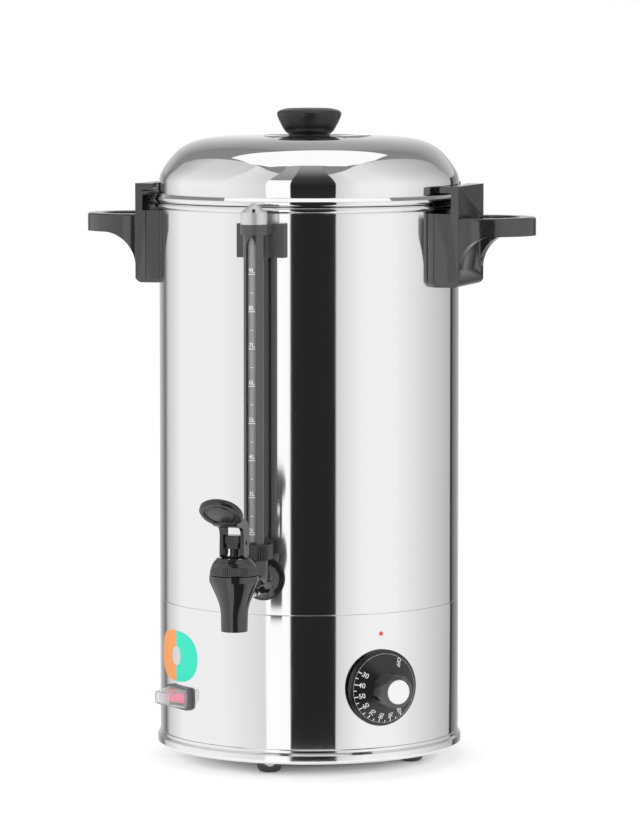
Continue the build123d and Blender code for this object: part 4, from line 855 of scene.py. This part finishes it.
class URN_OT_switch(Maker, bpy.types.Operator):
    """Finish the mains switch and set the dot and the badge on the base shell"""

    bl_idname = "urn.switch"
    bl_label = "Switch and marks"

    def make(self, size):
        refined("switch_gasket", "grey_plastic", 0.4 * MM)
        refined("rocker", "red_lens", 0.3 * MM)
        whole, split, round_form, badge_height = (-1, 1), 0.01, 2.0, 81.65
        self.field(
            "pointer_dot", DIAL_SIDE, 104.3, (1.6, 1.6), whole, round_form, "pointer", size
        )
        for name, span in (("badge_left", (-1, split)), ("badge_right", (split, 1))):
            self.field(name, -44.3, badge_height, (27.5, 18.7), span, 2.5, name, size)
        self.field(
            "badge_middle", -43.9, badge_height, (6.4, 7.0), whole, round_form,
            "badge_silver", size, 0.10,
        )

    def field(self, name, azimuth, height, half, span, squareness, material, size, lift=0.0):
        """A thin oval print on the wall, or a part of its width; half its size in mm."""
        steps, rows, under, over = 40, 6, 0.02, 0.09
        wide, tall = half[0] * MM, half[1] * MM
        vertices, faces = [], []
        for off_wall in (under + lift, over + lift):
            reach = size.body_radius + off_wall * MM
            for i in range(steps + 1):
                share = 0.5 - 0.5 * cos(pi * i / steps)
                along = span[0] + (span[1] - span[0]) * share
                high = tall * (1 - abs(along) ** squareness) ** (1 / squareness)
                side = radians(azimuth) + along * wide / size.body_radius
                for j in range(rows + 1):
                    up = height * MM + high * (2 * j / rows - 1)
                    vertices.append((reach * sin(side), -reach * cos(side), up))
        row, layer = rows + 1, (steps + 1) * (rows + 1)
        for i in range(steps):
            for j in range(rows):
                for base in (0, layer):
                    k = base + i * row + j
                    faces.append((k, k + row, k + row + 1, k + 1))
        around = [i * row for i in range(steps + 1)]
        around += [steps * row + j for j in range(1, row)]
        around += [i * row + rows for i in range(steps - 1, -1, -1)]
        around += list(range(rows - 1, 0, -1))
        for k, here in enumerate(around):
            there = around[(k + 1) % len(around)]
            faces.append((here, there, layer + there, layer + here))
        piece = new_piece(name, vertices, faces)
        shape = bmesh.new()
        shape.from_mesh(piece.data)
        bmesh.ops.remove_doubles(shape, verts=shape.verts, dist=0.005 * MM)
        bmesh.ops.recalc_face_normals(shape, faces=shape.faces)
        shape.to_mesh(piece.data)
        shape.free()
        settle(piece, material, "root")


class URN_OT_stage(bpy.types.Operator):
    """Lay the floor, stand the cards that the steel mirrors, light it and set the camera"""

    bl_idname = "urn.stage"
    bl_label = "Stage, light and camera"

    def execute(self, context):
        self.world(context.scene)
        self.floor()
        self.cards()
        self.lamps()
        self.camera(context.scene)
        context.scene.view_settings.view_transform = "Standard"
        return {"FINISHED"}

    def world(self, scene):
        """An even white sky."""
        world = bpy.data.worlds.new("studio")
        world.use_nodes = True
        world.node_tree.nodes["Background"].inputs["Color"].default_value = (1, 1, 1, 1)
        scene.world = world

    def floor(self):
        """A matt floor with painted light: a glow for camera and gloss that falls and rises
        with the distance from the axis, lightening the contact shadow round the pan.
        """
        material, nodes, links = new_material("studio_floor")
        matt = nodes.new("ShaderNodeBsdfDiffuse")
        matt.inputs["Color"].default_value = (0.90, 0.90, 0.90, 1)
        glow = nodes.new("ShaderNodeEmission")
        tree, ray = material.node_tree, nodes.new("ShaderNodeLightPath").outputs
        seen = maths(tree, "MAXIMUM", ray["Is Camera Ray"], ray["Is Glossy Ray"])
        place = nodes.new("ShaderNodeTexCoord")
        away = nodes.new("ShaderNodeVectorMath")
        away.operation = "LENGTH"
        links.new(place.outputs["Object"], away.inputs[0])
        lift = nodes.new("ShaderNodeValToRGB")
        lift.color_ramp.interpolation = "EASE"
        # Metres from the axis, and the painted glow there, strongest close round the pan where
        # it thins the object's shadow.
        for at, value in ((0.054, 0.0), (0.070, 0.07), (0.087, 0.22), (0.099, 0.35),
                          (0.112, 0.18), (0.128, 0.22), (0.160, 0.42), (0.35, 0.20),
                          (0.60, 0.14)):
            stop = lift.color_ramp.elements.new(at)
            stop.color = (value, value, value, 1)
        for spare in (0.0, 1.0):
            for stop in list(lift.color_ramp.elements):
                if stop.position == spare:
                    lift.color_ramp.elements.remove(stop)
        links.new(away.outputs["Value"], lift.inputs["Fac"])
        # Painted light: the glow is added only where camera or gloss looks at the floor.
        level = maths(tree, "MULTIPLY", seen, lift.outputs["Color"])
        links.new(level, glow.inputs["Strength"])
        both = nodes.new("ShaderNodeAddShader")
        out = nodes.new("ShaderNodeOutputMaterial")
        links.new(matt.outputs[0], both.inputs[0])
        links.new(glow.outputs[0], both.inputs[1])
        links.new(both.outputs[0], out.inputs["Surface"])
        half = 9
        corners = [(-half, -half, 0), (half, -half, 0), (half, half, 0), (-half, half, 0)]
        mesh = bpy.data.meshes.new("studio_floor")
        mesh.from_pydata(corners, [], [(0, 1, 2, 3)])
        mesh.materials.append(material)
        floor = placed("studio_floor", mesh)

    def mirror(self, azimuth):
        """Where on the wall the camera sees what lies in a direction, both as azimuths."""
        theta = 0.0
        for _ in range(8):
            lean = atan2(WALL * sin(theta), CAMERA_AWAY - WALL * cos(theta))
            theta = (radians(azimuth) - CAMERA_SIDE - lean) / 2
        return CAMERA_SIDE + theta

    def card(self, name, columns):
        """A curved card, of columns of (point, shade), that only the gloss sees."""
        material, nodes, links = new_material(name)
        shade = nodes.new("ShaderNodeAttribute")
        shade.attribute_name = "shade"
        glow = nodes.new("ShaderNodeEmission")
        out = nodes.new("ShaderNodeOutputMaterial")
        links.new(shade.outputs["Fac"], glow.inputs["Strength"])
        links.new(glow.outputs[0], out.inputs["Surface"])
        rows = len(columns[0])
        vertices = [point for column in columns for point, value in column]
        shades = [value for column in columns for point, value in column]
        corners = [i * rows + j for i in range(len(columns) - 1) for j in range(rows - 1)]
        faces = [(k, k + rows, k + rows + 1, k + 1) for k in corners]
        mesh = bpy.data.meshes.new(name)
        mesh.from_pydata(vertices, [], faces)
        mesh.attributes.new("shade", "FLOAT", "POINT").data.foreach_set("value", shades)
        mesh.materials.append(material)
        card = placed(name, mesh)
        card.visible_camera = card.visible_diffuse = False
        card.visible_shadow = card.visible_transmission = False

    def column(self, azimuth, grounded, low, high, shade):
        """Points of one upright line of a card, with the shade at each."""
        a = radians(azimuth)
        foot = self.mirror(azimuth)
        out = Vector((sin(a), -cos(a), 0))
        start = Vector((sin(foot), -cos(foot), 0)) * WALL
        off_floor = Vector((0, 0, 0.5 * MM))
        line = []
        if grounded:
            for reach in (0.05, 0.5, 1.5, TENT):
                line.append((start + out * reach + off_floor, shade(0.0)))
        for k in range(TENT_ROWS + 1):
            lift = radians(low + (high - low) * k / TENT_ROWS)
            point = start + out * TENT * cos(lift)
            point.z = EYE_LINE + TENT * sin(lift)
            line.append((point, shade(k / TENT_ROWS)))
        return line

    def top_of(self, top, azimuth):
        """Elevation of a card's top: as given, or falling like the edge of a flat wall."""
        if top not in WALL_EDGES:
            return top
        steepness, facing = WALL_EDGES[top]
        return max(degrees(atan(steepness * cos(radians(azimuth - facing)))), 1.0)

    def cards(self):
        """The light tent: walls, strip, dark card and back, their hoods, a roof and dusk."""
        def between(pair, share):
            return pair[0] + (pair[1] - pair[0]) * share

        # Azimuths and shades of both ends, elevation of the top, and fading from foot to top.
        for name, first, last, shades, top, fades in (
            ("left_back_card", -163, -136, (0.92, 0.36), 8, (1, 0.8)),
            ("left_gap", -136, -129, (0.36, 0.16), 8, (1, 1)),
            ("left_wall_end", -129, -121, (0.16, 0.66), "left", (1, 0.9)),
            ("left_wall_far", -121, -98, (0.66, 0.99), "left", (1, 0.68)),
            ("left_wall_middle", -98, -53, (0.99, 0.99), "left", (1, 0.68)),
            ("left_wall_near", -53, -16, (0.99, 0.79), "left", (1, 0.88)),
            ("white_strip", -16, 2.9, (1.14, 1.14), 31.5, (1, 1)),
            ("dark_card", 2.9, 37.4, (0.020, 0.020), 32, (1, 2.2)),
            ("right_wall_near", 37.4, 58, (0.74, 1), "right", (1, 0.88)),
            ("right_wall_middle", 58, 85, (1, 1), "right", (1, 0.84)),
            ("right_wall_far", 85, 156, (1, 0.50), "right", (1, 0.82)),
            ("right_gap", 156, 161, (0.03, 0.05), 8, (1, 1)),
            ("right_back_card", 161, 178, (0.14, 0.40), 8, (1, 1)),
            ("back_card", 178, 197, (0.40, 0.92), 8, (1, 0.8)),
        ):
            columns, steps = [], 16
            for k in range(steps + 1):
                azimuth = between((first, last), k / steps)
                level = between(shades, k / steps)
                columns.append(self.column(
                    azimuth, True, 0.0, self.top_of(top, azimuth),
                    lambda v: level * between(fades, v),
                ))
            self.card(name, columns)
        for name, first, last, low, high, foot, head, power in (
            ("strip_hood", -16, 2.9, 31.5, 72, 0.30, 0.46, 2),
            ("dark_hood", 2.9, 37.4, 32, 72, 0.044, 0.42, 3),
        ):
            self.card(name, [
                self.column(between((first, last), k / 8), False, low, high,
                            lambda v: between((foot, head), v ** power))
                for k in range(9)
            ])
        hood, steps, first, middle, last = [], 24, 155, 197, 229
        for k in range(steps + 1):
            azimuth = between((first, last), k / steps)
            side = (azimuth - middle) / (first - middle if azimuth < middle else last - middle)
            hood.append(self.column(
                azimuth, False, 8.0, 66.0,
                lambda v: (0.38 + 0.34 * (1 - v) ** 3) * (1 - 0.42 * side ** 2),
            ))
        self.card("back_hood", hood)
        across = Vector((cos(CAMERA_SIDE), sin(CAMERA_SIDE), 0))
        near = Vector((sin(CAMERA_SIDE), -cos(CAMERA_SIDE), 0))
        roof, roof_shade, dusk, dusk_shade = 2.4, 1.12, 5.4, 0.27
        # Across and towards the camera, as shares of the roof's height.
        corners = ((-0.68, -0.25), (-0.59, 0.14), (-0.41, 0.33), (-0.20, 0.38), (0, 0.39),
                   (0.21, 0.38), (0.37, 0.33), (0.51, 0.20), (0.61, -0.03), (0.62, -0.38),
                   (0.31, -0.40), (0, -0.35), (-0.26, -0.28), (-0.68, -0.25))
        self.card("roof_light", [
            [(across * x * roof * share + near * y * roof * share
              + Vector((0, 0, EYE_LINE + roof)), roof_shade) for share in (0.01, 1.0)]
            for x, y in corners
        ])
        self.card("tent_dusk", [
            [(Vector((dusk * cos(radians(lift)) * sin(radians(azimuth)),
                      -dusk * cos(radians(lift)) * cos(radians(azimuth)),
                      EYE_LINE + dusk * sin(radians(lift)))), dusk_shade)
             for lift in range(2, 91, 8)]
            for azimuth in range(0, 361, 10)
        ])

    def lamps(self):
        """Two soft lamps that the steel doesn't mirror."""
        middle = Vector((0, 0, 0.22))
        for name, place, power, width in (
            ("key_light", (-1.3, -1.8, 2.2), 12.0, 1.2),
            ("fill_light", (2.0, -1.4, 1.6), 6.0, 1.4),
        ):
            lamp = bpy.data.lights.new(name, "AREA")
            lamp.energy = power
            lamp.size = width
            light = placed(name, lamp)
            light.location = place
            aim = middle - Vector(place)
            light.rotation_euler = aim.to_track_quat("-Z", "Y").to_euler()
            light.visible_glossy = False

    def camera(self, scene):
        """A long lens at eye height, turned to the tap's right."""
        wide, high, focal = 640, 830, 4238.0    # the render's size and the lens, in dots
        axis, eye_row = 309.2, 32.25            # dots from the left and from the top
        side, away, eye, film = CAMERA_SIDE, CAMERA_AWAY, 0.5375, 36.0
        data = bpy.data.cameras.new("camera")
        camera = placed("camera", data)
        data.sensor_width = film
        data.lens = film * focal / high
        data.shift_y = -0.12
        data.clip_end = 100.0
        tilt = atan((high / 2 - eye_row + high * data.shift_y) / focal)
        yaw = atan((wide / 2 - axis) / focal)
        camera.location = (away * sin(side), -away * cos(side), eye)
        camera.rotation_euler = (pi / 2 - tilt, 0, side - yaw)
        scene.camera = camera


class URN_PT_panel(bpy.types.Panel):
    """The urn's makers, sizes and colours"""

    bl_idname = "URN_PT_panel"
    bl_label = "Hot water urn"
    bl_space_type = "VIEW_3D"
    bl_region_type = "UI"
    bl_category = "Urn"

    def draw(self, context):
        for maker in MAKERS:
            self.layout.operator(maker.bl_idname)
        for group in (context.scene.urn_sizes, context.scene.urn_colours):
            for name in group.__annotations__:
                self.layout.prop(group, name)


MAKERS = (
    URN_OT_finishes, URN_OT_shells, URN_OT_lid, URN_OT_handles, URN_OT_tap, URN_OT_gauge,
    URN_OT_dial, URN_OT_switch, URN_OT_stage,
)
CLASSES = (UrnSizes, UrnColours, *MAKERS, URN_PT_panel)


def register():
    for part in CLASSES:
        bpy.utils.register_class(part)
    bpy.types.Scene.urn_sizes = bpy.props.PointerProperty(type=UrnSizes)
    bpy.types.Scene.urn_colours = bpy.props.PointerProperty(type=UrnColours)


def unregister():
    del bpy.types.Scene.urn_colours
    del bpy.types.Scene.urn_sizes
    for part in reversed(CLASSES):
        bpy.utils.unregister_class(part)


def main():
    register()
    for maker in MAKERS:
        group, name = maker.bl_idname.split(".")
        getattr(getattr(bpy.ops, group), name)()


if __name__ == "__main__":
    main()
